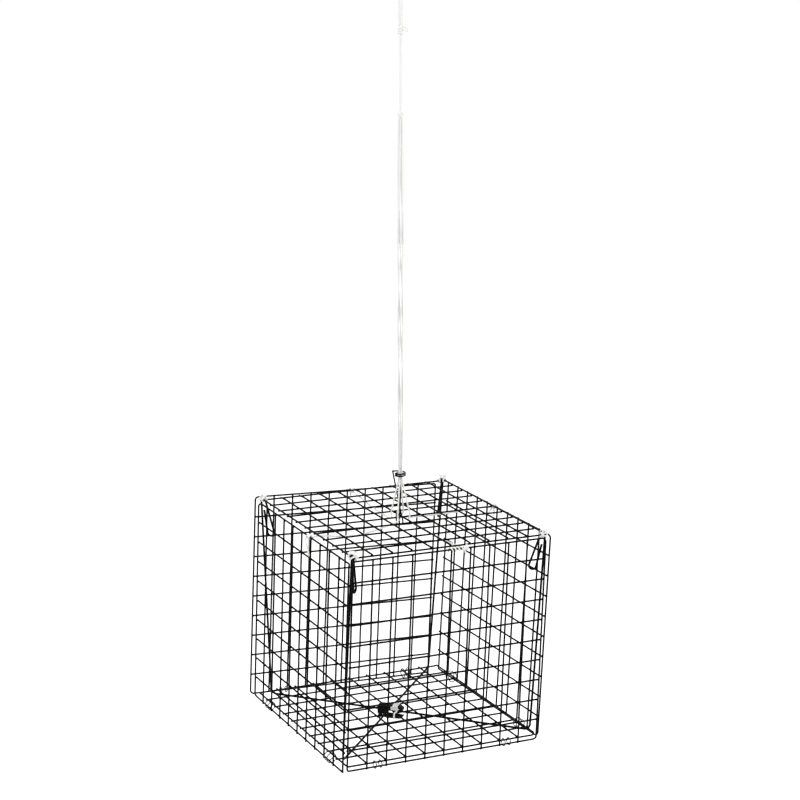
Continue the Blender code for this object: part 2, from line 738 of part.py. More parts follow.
def clip_spring(place, lug_in, over, under, look, parent):
    """A torsion spring round the pin with a leg beside the brace to each handle."""
    px, pz = CLIP_PIVOT
    radius = CLIP_PIN / 2 + TOUCH_GAP + SPRING_WIRE / 2
    start = -SPRING_PITCH * SPRING_TURNS / 2 - 0.0002
    coil = [Vector((px, start, pz)) + p for p in turns(
        Vector((0, 1, 0)), Vector((0, 0, -1)), Vector((1, 0, 0)), radius, SPRING_TURNS + 0.5, SPRING_PITCH, 8)]
    least_gap("bait_clip_spring", coil, SPRING_WIRE, 5)
    side = lug_in - TOUCH_GAP - SPRING_WIRE / 2
    low = Vector((px - 0.0065, -side, under - 0.0024 + 0.0007 + SPRING_WIRE / 2 + 0.0012))
    high = Vector((px - 0.0062, side, over - 0.0009 - TOUCH_GAP - SPRING_WIRE / 2))
    first = [low, Vector((px - 0.0030, -side, pz - radius + 0.0001))]
    last = [Vector((px - 0.0028, side, pz + radius + 0.0012)), high]
    path = [place @ p for p in first + coil + last]
    tube("bait_clip_spring", path, SPRING_WIRE, look, parent, resolution=1)


def bait_tie(place, over, look, parent):
    """Cord wound on the upper jaw to tie the bait, with its tail hanging through the mesh."""
    half = CLIP_WIDTH / 2 + TOUCH_GAP + CORD / 2
    low = over - TOUCH_GAP - CORD / 2
    high = over + CLIP_PLATE + TOUCH_GAP + CORD / 2
    pitch = CORD + CORD_GAP
    first = CLIP_JAW_END - CLIP_TOOTH - TIE_CLEARANCE - CORD / 2 - pitch * TIE_TURNS
    ease = CORD / 2
    corners = [(-half, high - ease), (-half, low + ease), (ease - half, low), (half - ease, low),
               (half, low + ease), (half, high - ease), (half - ease, high), (ease - half, high)]
    wound = []
    for i in range(TIE_TURNS * 8 + 2):
        y, z = corners[i % 8]
        wound.append(Vector((first + pitch * i / 8, y, z)))
    least_gap("bait_tie", wound, CORD, 6)
    last = wound[-1]
    tail = [last + Vector((x, -y, -z)) for x, y, z in TIE_TAIL]
    to_parent = parent.matrix_local.inverted()
    tube("bait_tie", [to_parent @ place @ p for p in wound + tail], CORD, look, parent, resolution=1)


def empty(name, parent, place):
    made = bpy.data.objects.new(name, None)
    bpy.context.collection.objects.link(made)
    made.parent = parent
    made.matrix_local = place
    return made


def build():
    clear_scene()
    coated = material("coated_mesh", (0.012, 0.012, 0.013), 0.42, 0.0)
    brace = material("coated_brace", (0.015, 0.015, 0.016), 0.38, 0.0)
    ring = material("ring_steel", (0.10, 0.10, 0.105), 0.45, 0.9)
    steel = material("clip_steel", (0.30, 0.30, 0.31), 0.35, 1.0)
    plastic = material("clip_plastic", (0.014, 0.014, 0.015), 0.5, 0.0)
    cord = material("white_cord", (0.80, 0.79, 0.77), 0.85, 0.0)

    trap = empty("trap", None, Matrix.Translation(-HOLD_POINT))
    plain = panel_mesh("panel", bottom_nub=True)
    door = panel_mesh("door", bottom_nub=False)
    add("floor_panel", plain, coated, trap, Matrix.Translation((0, -HALF, -LAYER)))
    add("top_panel", plain, coated, trap, Matrix.Translation(TOP_CENTRE + Vector((0, -HALF, -LAYER))))

    for side in DOORS:
        hinge = empty("hinge_" + side, trap, door_frame(side))
        add("door_" + side, door, coated, hinge)
        hog_rings(side, ring, trap)
        tie, out = door_knot(side, cord, trap)
        edge, ahead = string_run(side, cord, trap, tie)
        short = [edge + ahead * TOUCH_GAP, edge + ahead * CORD / 2, tie - out * CORD, tie - out * TOUCH_GAP]
        tube("string_end_" + side, short, CORD, cord, trap, resolution=1)

    tube("brace_lower", brace_path("back_left", "front_right", False), BRACE_WIRE, brace, trap, resolution=1)
    tube("brace_upper", brace_path("front_left", "back_right", True), BRACE_WIRE, brace, trap, resolution=1)
    for corner in FEET:
        corner_lashing(corner, cord, trap)
    line_guide(brace, trap)
    px, pz = CLIP_PIVOT
    jaw = empty("clip_jaw_pivot", trap, clip_frame() @ Matrix.Translation((px, 0, pz)))
    bait_clip(plastic, steel, cord, trap, jaw)
    hauling_line(cord, trap)


build()
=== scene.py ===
import random
from math import cos, pi, radians, sin, sqrt, tan, tau

import bmesh
import bpy
import numpy as np
from mathutils import Matrix, Vector


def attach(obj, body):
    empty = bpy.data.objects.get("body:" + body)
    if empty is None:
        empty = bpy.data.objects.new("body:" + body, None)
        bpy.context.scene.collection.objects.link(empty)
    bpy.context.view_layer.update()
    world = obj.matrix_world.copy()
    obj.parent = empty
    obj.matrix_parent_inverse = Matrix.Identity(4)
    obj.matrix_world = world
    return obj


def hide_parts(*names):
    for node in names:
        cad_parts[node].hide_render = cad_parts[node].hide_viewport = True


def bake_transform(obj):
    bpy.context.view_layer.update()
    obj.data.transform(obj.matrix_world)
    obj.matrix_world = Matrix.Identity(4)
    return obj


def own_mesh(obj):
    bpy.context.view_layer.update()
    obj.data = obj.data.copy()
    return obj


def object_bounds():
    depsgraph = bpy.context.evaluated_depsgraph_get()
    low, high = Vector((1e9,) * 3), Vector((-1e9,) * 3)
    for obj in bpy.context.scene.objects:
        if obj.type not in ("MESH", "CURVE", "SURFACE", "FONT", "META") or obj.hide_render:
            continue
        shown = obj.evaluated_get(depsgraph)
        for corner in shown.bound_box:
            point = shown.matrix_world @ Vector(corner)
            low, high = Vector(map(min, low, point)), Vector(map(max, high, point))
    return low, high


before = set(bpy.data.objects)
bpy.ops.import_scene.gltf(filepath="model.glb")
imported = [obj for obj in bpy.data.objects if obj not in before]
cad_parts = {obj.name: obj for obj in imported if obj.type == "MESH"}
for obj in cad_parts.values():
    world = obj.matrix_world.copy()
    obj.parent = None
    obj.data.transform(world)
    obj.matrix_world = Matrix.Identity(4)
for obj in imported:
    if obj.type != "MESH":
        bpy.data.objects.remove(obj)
cad_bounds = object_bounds()

UP = Vector((0, 0, 1))
RIGHT = Vector((1, 0, 0))
BACK = Vector((0, 1, 0))

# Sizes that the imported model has, in metres
SQUARES = 10
PITCH = 0.028
MESH_WIRE = 0.0022
CORNER_RADIUS = 0.0045
NUB = 0.0003
TOUCH_GAP = 0.0003
TOP_RISE = 0.0026
TOP_SHIFT = Vector((0.0029, 0.0056, 0))
DOORS = {
    "front": {"out": 0.0032, "shift": -0.0010, "drop": 0.0056, "lean": 0.0, "roll": 0.0, "tie": 5.64},
    "back": {"out": 0.0031, "shift": -0.0098, "drop": 0.0060, "lean": 2.86, "roll": -1.78, "tie": 5.1},
    "left": {"out": 0.0048, "shift": 0.0040, "drop": 0.0053, "lean": 0.2, "roll": -0.75, "tie": 5.6},
    "right": {"out": 0.0053, "shift": -0.0042, "drop": 0.0058, "lean": 1.1, "roll": 0.32, "tie": 4.66},
}
SENSE = {"front": 1, "back": -1, "left": 1, "right": -1}
OUTWARD = {"front": -BACK, "back": BACK, "left": -RIGHT, "right": RIGHT}
RING_WIRE = 0.0014
RING_SQUARE = 1
RING_PLACE = 0.6
RING_PAIR_SPACING = 0.008
RING_END_GAP = 0.0006
BRACE_WIRE = 0.0028
FEET = {
    "front_right": (0.1363, -0.1323),
    "back_right": (0.1214, 0.1284),
    "back_left": (-0.1282, 0.1215),
    "front_left": (-0.1395, -0.1290),
}
FOOT_BEND = 0.008
HOOK_DROP = 0.045
HOOK_INWARD = 0.012
HOOK_WIDTH = 0.010
HOOK_END_DROP = 0.014
HOOK_END_GAP = 0.0006
CROSSING_RAMP = 0.040
CORD = 0.0022
MAIN_CORD = 0.0028
CORD_GAP = 0.0004
GUIDE_WIRE = 0.0020
GUIDE_TURN = radians(-27.7)
EYE = Vector((0.0, 0.004, 0.336))
EYE_RADIUS = 0.0065
EYE_TURNS = 2
EYE_PITCH = 0.0026
GUIDE_HOOK_DEPTH = 0.0126
LINE_DRIFT = 0.0321
LINE_BEARING = radians(152.7)
JOIN_KNOT_AT = 0.476
LOOP_KNOT_AT = 0.5815
HAND_LOOP_AT = 0.690
LINE_START = 0.0083
JOIN_KNOT_SIZE = (0.0038, 0.0088)
JOIN_KNOT_CORD = 0.0024
LOOP_KNOT_SIZE = (0.0042, 0.0110)
LOOP_WIDTH = 0.018
LOOP_TOGETHER = 0.045
STRING_SPREAD = 0.0014
STRING_SAG = {"front": 0.003, "back": 0.003, "left": 0.009, "right": 0.003}
CELL_REACH = 0.009
RUN_END_INSET = 0.004
CLIP_WIDTH = 0.012
CLIP_PIVOT = (-0.0068, -0.0015)
LUG_RADIUS = 0.0032
CLIP_PIN = 0.0018
CLIP_PLATE = 0.0026
CLIP_CHEEK = 0.0018
CLIP_LUG = 0.0013
WALL_LAP = 0.0020
HANDLE_END = -0.0155
JAW_END = 0.0195
CLIP_TOOTH = 0.0045
SPRING_WIRE = 0.0009
SPRING_PITCH = 0.0014
SPRING_TURNS = 2
TIE_TURNS = 3
TIE_CLEARANCE = 0.0012
TIE_TAIL = ((-0.0010, 0.0003, 0.0034), (-0.0034, 0.0008, 0.0060), (-0.0036, 0.0010, 0.0145))

SIDE = SQUARES * PITCH
HALF = SIDE / 2
LAYER = 0.9 * MESH_WIRE / 2
MESH_FACE = LAYER + MESH_WIRE / 2
BRACE_LEVEL = MESH_FACE + TOUCH_GAP + BRACE_WIRE / 2
BRACE_OVER = BRACE_LEVEL + BRACE_WIRE + TOUCH_GAP
TOP_CENTRE = TOP_SHIFT + UP * (SIDE - DOORS["front"]["drop"] + TOP_RISE)
CORD_RING = MESH_WIRE / 2 + TOUCH_GAP + CORD / 2
CORNER_REACH = HALF - CORNER_RADIUS + CORNER_RADIUS * sqrt(0.5)
LINE_SIDE = RIGHT * cos(LINE_BEARING) + BACK * sin(LINE_BEARING)
LINE_LEAN = (UP + LINE_SIDE * LINE_DRIFT).normalized()
HOLD_POINT = EYE + LINE_LEAN * HAND_LOOP_AT


def held(point):
    """A point of the cage as the frame has it, from where the hand loop is held."""
    return tuple(Vector(point) - HOLD_POINT)


def add_object(name, data):
    made = bpy.data.objects.new(name, data)
    bpy.context.scene.collection.objects.link(made)
    return made


def towards(first, second, angle):
    """The direction at that angle from the first one towards the second."""
    return first * cos(angle) + second * sin(angle)


# Camera, at the photograph's viewing angle
CAMERA_PLACE = Vector((-1.2644, -2.3971, 1.0824))
CAMERA_AHEAD = Vector((0.45212, 0.86145, -0.23129)).normalized()
CAMERA_ROLL = radians(1.89)
CAMERA_FOCUS = 2117.7
PICTURE_WIDTH = 800


def place_camera():
    level_right = CAMERA_AHEAD.cross(UP).normalized()
    right = towards(level_right, level_right.cross(CAMERA_AHEAD), CAMERA_ROLL)
    turn = Matrix((right, right.cross(CAMERA_AHEAD), -CAMERA_AHEAD)).transposed().to_4x4()
    data = bpy.data.cameras.new("photo_camera")
    data.sensor_fit = "HORIZONTAL"
    data.sensor_width = 36
    data.lens = CAMERA_FOCUS * data.sensor_width / PICTURE_WIDTH
    data.clip_end = 50
    camera = add_object("photo_camera", data)
    camera.matrix_world = Matrix.Translation(CAMERA_PLACE - HOLD_POINT) @ turn
    bpy.context.scene.camera = camera


place_camera()


# Meshes


class Shape:
    """Tubes and solids gathered for one mesh, in cage coordinates, with a place along and round each tube."""

    def __init__(self):
        self.points = []
        self.faces = []
        self.wraps = []

    def tube(self, path, diameter, sides=12, closed=False, swell=None, tip=0.55, reference=None):
        """A round tube along the path; swell gives a factor for each of its points."""
        path = np.array([tuple(p) for p in path], float)
        count = len(path)
        size = np.full(count, diameter / 2, float)
        if swell is not None:
            size = size * np.array(swell)
        if not closed:
            path, size = round_ends(path, size, tip)
            count = len(path)
        nearest = np.roll(path, -1, axis=0) - np.roll(path, 1, axis=0)
        if not closed:
            nearest[0] = path[1] - path[0]
            nearest[-1] = path[-1] - path[-2]
        ahead = nearest / np.linalg.norm(nearest, axis=1)[:, None]
        side = carried(ahead, reference)
        other = np.cross(ahead, side)
        steps = np.linalg.norm(np.diff(path, axis=0, append=path[:1]), axis=1)
        along = np.concatenate([[0], np.cumsum(steps)])
        angles = np.arange(sides) * tau / sides
        ring = side[:, None] * np.cos(angles)[None, :, None] + other[:, None] * np.sin(angles)[None, :, None]
        points = path[:, None] + ring * size[:, None, None]
        first = len(self.points)
        self.points += [tuple(p) for p in points.reshape(-1, 3)]
        for i in range(count if closed else count - 1):
            here = first + i * sides
            there = first + (i + 1) % count * sides
            for k in range(sides):
                after = (k + 1) % sides
                self.faces.append((here + k, here + after, there + after, there + k))
                u, v = k / sides, (k + 1) / sides
                self.wraps += [(u, along[i]), (v, along[i]), (v, along[i + 1]), (u, along[i + 1])]
        if not closed:
            last = first + (count - 1) * sides
            self.plain(range(first + sides - 1, first - 1, -1))
            self.plain(range(last, last + sides))

    def plain(self, face):
        self.faces.append(tuple(face))
        self.wraps += [(0.5, 0.0)] * len(face)

    def solid(self, points, faces):
        first = len(self.points)
        self.points += [tuple(p) for p in points]
        for face in faces:
            self.plain([first + k for k in face])

    def make(self, node, suffix, finish, body, smooth_angle=50):
        mesh = bpy.data.meshes.new(f"{node}_{suffix}")
        mesh.from_pydata([held(p) for p in self.points], [], self.faces)
        wraps = mesh.uv_layers.new(name="along_and_round")
        wraps.data.foreach_set("uv", [c for pair in self.wraps for c in pair])
        return dressed(mesh, node, finish, body, smooth_angle)


def dressed(mesh, node, finish, body, smooth_angle):
    """A smooth piece that replaces the node, with its look, on the body that it rides."""
    look, slot = finish
    mesh.materials.append(look)
    mesh.shade_smooth()
    mesh.set_sharp_from_angle(angle=radians(smooth_angle))
    piece = add_object(mesh.name, mesh)
    if body:
        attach(piece, body)
    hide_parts(node)
    return piece


def tube_piece(node, suffix, path, diameter, finish, body, sides=12, tip=0.55, smooth_angle=50):
    shape = Shape()
    shape.tube(path, diameter, sides, tip=tip)
    return shape.make(node, suffix, finish, body, smooth_angle)


def round_ends(path, size, tip):
    """Two extra rings at each end, so that a cut end has a rounded rim."""
    ends = []
    rim = (1 + tip) / 2 + 0.12
    for here, inner, wide in ((path[0], path[1], size[0]), (path[-1], path[-2], size[-1])):
        length = np.linalg.norm(inner - here)
        inward = (inner - here) / length * min(wide * 0.45, length * 0.4)
        ends += [[here, here + inward * 0.45, here + inward], [wide * tip, wide * rim, wide]]
    head, head_sizes, tail, tail_sizes = ends
    return (np.array(head + list(path[1:-1]) + tail[::-1]),
            np.array(head_sizes + list(size[1:-1]) + tail_sizes[::-1]))


def carried(ahead, reference):
    """A direction across the path at each point, carried along it without twist."""
    if reference is not None:
        across = np.cross(ahead, np.array(tuple(reference)))
        return across / np.linalg.norm(across, axis=1)[:, None]
    side = Vector(ahead[0]).orthogonal().normalized()
    sides = [side]
    for before, after in zip(ahead, ahead[1:]):
        side = Vector(before).rotation_difference(Vector(after)) @ side
        side = (side - Vector(after) * side.dot(Vector(after))).normalized()
        sides.append(side)
    return np.array([tuple(s) for s in sides])


def smooth_path(points, steps):
    """Points read from a smooth curve through the given ones."""
    points = [Vector(p) for p in points]
    ends = [points[0] * 2 - points[1]] + points + [points[-1] * 2 - points[-2]]
    path = []
    for a, b, c, d in zip(ends, ends[1:], ends[2:], ends[3:]):
        for i in range(steps):
            t = i / steps
            path.append(0.5 * (2 * b + (c - a) * t + (2 * a - 5 * b + 4 * c - d) * t**2
                               + (3 * b - a - 3 * c + d) * t**3))
    path.append(points[-1])
    return path


def bend(before, corner, after, radius, steps=14):
    """The arc that rounds one corner of a bent wire."""
    start = (before - corner).normalized()
    end = (after - corner).normalized()
    half_angle = start.angle(end) / 2
    run = radius / tan(half_angle)
    centre = corner + (start + end).normalized() * radius / sin(half_angle)
    first = corner + start * run - centre
    last = corner + end * run - centre
    return [centre + first.slerp(last, i / steps) * radius for i in range(steps + 1)]


def turns(axis, out, up, radius, count, pitch, per_turn=24):
    """A coil round an axis: it starts along out, turns towards up and climbs along the axis."""
    return [axis * pitch * i / per_turn + towards(out, up, tau * i / per_turn) * radius
            for i in range(round(count * per_turn) + 1)]


def even(path, step):
    """The same path with points about one step apart."""
    points = [Vector(p) for p in path]
    result = [points[0]]
    for a, b in zip(points, points[1:]):
        count = max(1, round((b - a).length / step))
        result += [a.lerp(b, i / count) for i in range(1, count + 1)]
    return result


# Materials


class Look:
    """The node tree of a material or the world; each call adds a node and returns its output."""

    def __init__(self, owner):
        owner.use_nodes = True
        self.owner = owner
        self.nodes = owner.node_tree.nodes
        self.links = owner.node_tree.links

    def feed(self, node, inputs):
        for key, value in inputs.items():
            socket = node.inputs[key]
            if isinstance(value, bpy.types.NodeSocket):
                self.links.new(value, socket)
            else:
                socket.default_value = (*value, 1) if socket.type == "RGBA" else value

    def node(self, kind, inputs, **settings):
        made = self.nodes.new(kind)
        for key, value in settings.items():
            setattr(made, key, value)
        self.feed(made, inputs)
        return made

    def math(self, operation, a, b=0.0, c=0.0):
        return self.node("ShaderNodeMath", {0: a, 1: b, 2: c}, operation=operation).outputs[0]

    def noise(self, scale, detail=3.0, roughness=0.5, stretch=None):
        place = self.node("ShaderNodeTexCoord", {}).outputs["Object"]
        if stretch:
            place = self.node("ShaderNodeMapping", {"Vector": place, "Scale": stretch}).outputs[0]
        inputs = {"Vector": place, "Scale": scale, "Detail": detail, "Roughness": roughness}
        return self.node("ShaderNodeTexNoise", inputs).outputs["Fac"]

    def ramp(self, value, low, high, first, last):
        return self.node("ShaderNodeMapRange", {"Value": value, "From Min": low, "From Max": high,
                                                "To Min": first, "To Max": last}).outputs[0]

    def mix(self, share, first, last):
        """Mixes two colours, which are the node's inputs 6 and 7 and its output 2."""
        return self.node("ShaderNodeMix", {0: share, 6: first, 7: last}, data_type="RGBA").outputs[2]

    def bump(self, height, distance, strength=1.0, under=None):
        inputs = {"Height": height, "Distance": distance, "Strength": strength}
        if under is not None:
            inputs["Normal"] = under
        return self.node("ShaderNodeBump", inputs).outputs[0]

    def shade(self, colour, roughness, normal, others):
        """Feeds the shader and returns the material."""
        inputs = {"Base Color": colour, "Roughness": roughness, "Normal": normal, **others}
        self.feed(self.nodes["Principled BSDF"], inputs)
        return self.owner


def new_look(name):
    return Look(bpy.data.materials.new(name))


def coated_look(name, colour, dusty, roughness):
    """Black plastic coating on wire: pooled lumps, fine pitting, dull dusty patches and scuffs."""
    look = new_look(name)
    patches = look.noise(38, 4, 0.6)
    scuffs = look.noise(420, 2, 0.7, (1, 1, 0.25))
    dust = look.ramp(patches, 0.50, 0.72, 0.0, 0.55)
    wear = look.ramp(scuffs, 0.66, 0.74, 0.0, 0.35)
    share = look.math("MAXIMUM", dust, wear)
    shade = look.mix(share, colour, dusty)
    rough = look.math("ADD", look.ramp(patches, 0.35, 0.7, roughness - 0.08, roughness + 0.14), wear)
    lumps = look.bump(look.noise(260, 2, 0.4), 0.00022, 0.8)
    pits = look.bump(look.noise(1900, 3, 0.6), 0.00005, 0.6, lumps)
    return look.shade(shade, rough, pits, {"IOR": 1.48, "Specular IOR Level": 0.035})


def steel_look(name, colour, dull, roughness, metallic):
    """Drawn wire: fine lines, dull patches and small pits."""
    look = new_look(name)
    patches = look.noise(170, 4, 0.6)
    lines = look.noise(2600, 2, 0.5, (1, 1, 0.12))
    shade = look.mix(look.ramp(patches, 0.42, 0.68, 0.0, 1.0), colour, dull)
    rough = look.math("ADD", look.ramp(patches, 0.4, 0.7, roughness, roughness + 0.22),
                      look.ramp(lines, 0.3, 0.7, -0.05, 0.08))
    scratched = look.bump(lines, 0.00003, 0.5, look.bump(look.noise(700, 2, 0.5), 0.00006, 0.5))
    return look.shade(shade, rough, scratched, {"Metallic": metallic})


def plastic_look():
    """Moulded black plastic with a fine grain, flow marks and pale scuffs."""
    look = new_look("clip_plastic_look")
    flow = look.noise(120, 3, 0.5, (1, 0.3, 1))
    scuff = look.ramp(look.noise(520, 4, 0.75, (0.4, 1, 1)), 0.60, 0.72, 0.0, 0.45)
    shade = look.mix(scuff, (0.0022, 0.0022, 0.0024), (0.012, 0.012, 0.012))
    rough = look.math("ADD", look.ramp(flow, 0.35, 0.7, 0.40, 0.54), scuff)
    grain = look.bump(look.noise(3200, 2, 0.5), 0.00004, 0.7, look.bump(flow, 0.0001, 0.5))
    return look.shade(shade, rough, grain, {"IOR": 1.5, "Specular IOR Level": 0.06})


def braid_look(name, carriers, pitch):
    """Braided white cord: two families of strands that pass over and under each other round the cord, with
    painted shade in the gaps between them.
    """
    look = new_look(name)
    wrap = look.node("ShaderNodeUVMap", {}, uv_map="along_and_round").outputs[0]
    split = look.node("ShaderNodeSeparateXYZ", {0: wrap})
    around = look.math("MULTIPLY", split.outputs[0], float(carriers))
    along = look.math("MULTIPLY", split.outputs[1], 1 / pitch)
    one = look.math("ADD", around, along)
    two = look.math("SUBTRACT", around, along)
    cells = look.math("ADD", look.math("FLOOR", one), look.math("FLOOR", two))
    odd = look.math("ABSOLUTE", look.math("MODULO", cells, 2.0))

    def falling(value, power):
        """One in the middle of each whole step of the value and nought at its ends."""
        away = look.math("ABSOLUTE", look.math("SUBTRACT", look.math("FRACT", value), 0.5))
        return look.math("SUBTRACT", 1.0, look.math("POWER", look.math("MULTIPLY", away, 2.0), power))

    def crown(value, other):
        ends = look.math("MULTIPLY_ADD", falling(other, 4.0), 0.45, 0.55)
        return look.math("MULTIPLY", falling(value, 2.4), ends)

    height = look.math("ADD", look.math("MULTIPLY", crown(one, two), look.math("SUBTRACT", 1.0, odd)),
                       look.math("MULTIPLY", crown(two, one), odd))
    fibres = look.noise(5200, 2, 0.6, (1, 1, 0.4))
    grime = look.ramp(look.noise(46, 5, 0.65), 0.50, 0.76, 0.0, 0.30)
    # Painted shade: the colour darkens towards a grey in the low gaps between strands, where the weave's
    # crevices fall in shade.
    gap_painted_shade = look.ramp(height, 0.05, 0.50, 0.45, 0.0)
    clean = look.mix(look.ramp(fibres, 0.3, 0.7, 0.0, 1.0), (0.94, 0.935, 0.915), (0.88, 0.872, 0.85))
    stained = look.mix(grime, clean, (0.82, 0.81, 0.775))
    shade = look.mix(gap_painted_shade, stained, (0.70, 0.69, 0.665))
    weave = look.bump(height, 0.00028, 0.9)
    fuzz = look.bump(fibres, 0.00006, 0.6, weave)
    rough = look.ramp(height, 0.0, 1.0, 0.95, 0.78)
    return look.shade(shade, rough, fuzz, {"Sheen Weight": 0.25, "Sheen Roughness": 0.5})


# Each finish is a look and its material slot
BLACK_COAT = (0.0012, 0.0011, 0.0011)
MESH_FINISH = (coated_look("coated_mesh_look", BLACK_COAT, (0.006, 0.0056, 0.0054), 0.44), "coated_mesh")
BRACE_FINISH = (coated_look("coated_brace_look", BLACK_COAT, (0.007, 0.0066, 0.0064), 0.40), "coated_brace")
RING_LOOK = steel_look("ring_steel_look", (0.07, 0.07, 0.073), (0.022, 0.022, 0.023), 0.40, 0.9)
RING_FINISH = (RING_LOOK, "ring_steel")
STEEL_LOOK = steel_look("clip_steel_look", (0.42, 0.42, 0.43), (0.22, 0.22, 0.22), 0.26, 1.0)
STEEL_FINISH = (STEEL_LOOK, "clip_steel")
PLASTIC_FINISH = (plastic_look(), "clip_plastic")
CORD_FINISH = (braid_look("braided_cord_look", 4, 0.0036), "white_cord")
MAIN_FINISH = (braid_look("braided_line_look", 5, 0.0042), "white_cord")


# Routes of the model, in cage coordinates


def door_frame(side):
    """The door's place: X along its hinge line, Y up the door, Z outward."""
    spec = DOORS[side]
    out = OUTWARD[side]
    along = UP.cross(out)
    facing = Matrix((along, UP, out)).transposed().to_4x4()
    sense = SENSE[side]
    place = out * (HALF + spec["out"]) + along * sense * spec["shift"] - UP * spec["drop"]
    roll = Matrix.Rotation(radians(spec["roll"]) * sense, 4, "Z")
    lean = Matrix.Rotation(radians(spec["lean"]), 4, "X")
    return Matrix.Translation(place) @ facing @ roll @ lean


def corner_frame(corner):
    side = Vector((1 if "right" in corner else -1, 1 if "back" in corner else -1, 0))
    return TOP_CENTRE + side * CORNER_REACH, side.normalized()


def foot_point(corner):
    return Vector((*FEET[corner], BRACE_LEVEL))


def upright_top(corner):
    point, out = corner_frame(corner)
    return point + out * (MESH_WIRE / 2 + TOUCH_GAP + BRACE_WIRE / 2)


def hook_path(corner):
    """From the hook's free end round its bend, up the inner arm and over the panel's corner."""
    point, out = corner_frame(corner)
    top = upright_top(corner)
    foot = foot_point(corner)
    beside = top.lerp(foot, HOOK_END_DROP / (top.z - foot.z))
    centre = point - out * HOOK_INWARD - UP * HOOK_DROP
    steps = [radians(15 * i) for i in range(13)]
    path = [beside - out * (BRACE_WIRE + HOOK_END_GAP)]
    path += [centre + towards(out, UP, -angle) * HOOK_WIDTH / 2 for angle in steps]
    path += [point + towards(out, UP, pi - angle) * (top - point).length for angle in steps]
    return path


def braces_cross():
    start, end = foot_point("back_left"), foot_point("front_right")
    other_start, other_end = foot_point("front_left"), foot_point("back_right")
    run, other = end - start, other_end - other_start
    share = (other_start - start).cross(other).z / run.cross(other).z
    return start + run * share


def brace_path(first, second, over):
    """Hook, upright, foot, floor run, foot, upright, hook; the upper brace rises over the lower one."""
    start, end = foot_point(first), foot_point(second)
    path = hook_path(first)
    path += bend(upright_top(first), start, end, FOOT_BEND)
    if over:
        crossing = braces_cross()
        ahead = (end - start).normalized()
        for i in range(-12, 13):
            share = i / 12
            lift = (BRACE_OVER - BRACE_LEVEL) * (1 + cos(pi * share)) / 2
            path.append(crossing + ahead * CROSSING_RAMP * share + UP * lift)
    path += bend(start, end, upright_top(second), FOOT_BEND)
    path += reversed(hook_path(second))
    return path


# The guide's hook from its free end and its rod, in the guide's own directions from the top panel's centre
TURNED = Matrix.Rotation(GUIDE_TURN, 3, "Z")
GUIDE_HOOK = (
    (-0.0092, 0.0046, 0.0030), (-0.0072, 0.0044, 0.0052), (-0.0056, 0.0043, 0.0030),
    (-0.0054, 0.0042, -0.0050), (-0.0042, 0.0042, 0.0015 - GUIDE_HOOK_DEPTH),
    (-0.0008, 0.0042, -GUIDE_HOOK_DEPTH),
    (0.0030, 0.0042, 0.0015 - GUIDE_HOOK_DEPTH), (0.0037, 0.0042, -0.0070),
)
EYE_TOP = EYE + UP * EYE_TURNS * EYE_PITCH / 2
EYE_LEVEL = EYE_TOP.z - TOP_CENTRE.z
GUIDE_ROD = (
    (0.0015, 0.0042, 0.0), (-0.0112, 0.0040, EYE_LEVEL - 0.005), (-0.0114, 0.0038, EYE_LEVEL - 0.001),
    (-0.0090, 0.0037, EYE_LEVEL),
)


def guide_path():
    hook, rod = ([TOP_CENTRE + TURNED @ Vector(p) for p in row] for row in (GUIDE_HOOK, GUIDE_ROD))
    coil = turns(-UP, TURNED @ BACK, TURNED @ RIGHT, EYE_RADIUS, EYE_TURNS, EYE_PITCH)
    return smooth_path(hook, 8) + smooth_path(rod, 8) + [EYE_TOP + p for p in coil]


def bundle_offset(side):
    places = {"front": (1, -1), "left": (-1, -1), "back": (-1, 1), "right": (1, 1)}
    x, y = places[side]
    return Vector((x, y, 0)) * STRING_SPREAD


def knot_start(side):
    """Under the door's top wire, so many squares along it as the string's tie says."""
    sense = SENSE[side]
    reach = (DOORS[side]["tie"] - SQUARES / 2) * PITCH
    place = door_frame(side)
    turn = place.to_3x3()
    centre = place @ Vector((sense * reach, SIDE, 0))
    return centre, turn @ Vector((sense, 0, 0)), turn @ Vector((0, -1, 0)), turn @ Vector((0, 0, 1))


def knot_lead(side):
    """Where the string comes to the door's knot, and the way it goes on outward."""
    centre, axis, down, out = knot_start(side)
    return centre + down * CORD_RING - out * CORD, out


def run_path(side):
    """From above the eye, down through a square beside the centre and out under the top panel."""
    tie, _ = knot_lead(side)
    offset = bundle_offset(side)
    cell = TOP_CENTRE + offset * CELL_REACH / STRING_SPREAD
    under = MESH_FACE + TOUCH_GAP + CORD / 2
    out = OUTWARD[side]
    edge = TOP_CENTRE + out * (HALF - RUN_END_INSET)
    edge.z -= under
    sideways = UP.cross(out)
    edge += sideways * (tie - edge).dot(sideways)
    middle = cell.lerp(edge, 0.5)
    middle.z = edge.z - STRING_SAG[side]
    leave = EYE + offset - LINE_LEAN * EYE_PITCH * EYE_TURNS
    above = cell + UP * 0.006
    return smooth_path([
        EYE + offset + LINE_LEAN * (LINE_START - TOUCH_GAP),
        leave,
        leave.lerp(above, 0.25),
        above,
        cell + (edge - cell).normalized() * 0.003 - UP * (under + 0.001),
        middle,
        edge,
    ], 12)


# Cords


def on_line(height):
    return EYE + LINE_LEAN * height


def laid_cord(node, path, diameter, finish, body, sides=12):
    """A piece of cord along the path."""
    piece = tube_piece(node, "braided", path, diameter, finish, body, sides)
    return piece


def placed(origin, ways, rows, unit):
    """Points that lie so many units from the origin along each of the ways."""
    return [origin + sum((way * part for way, part in zip(ways, row)), Vector()) * unit for row in rows]


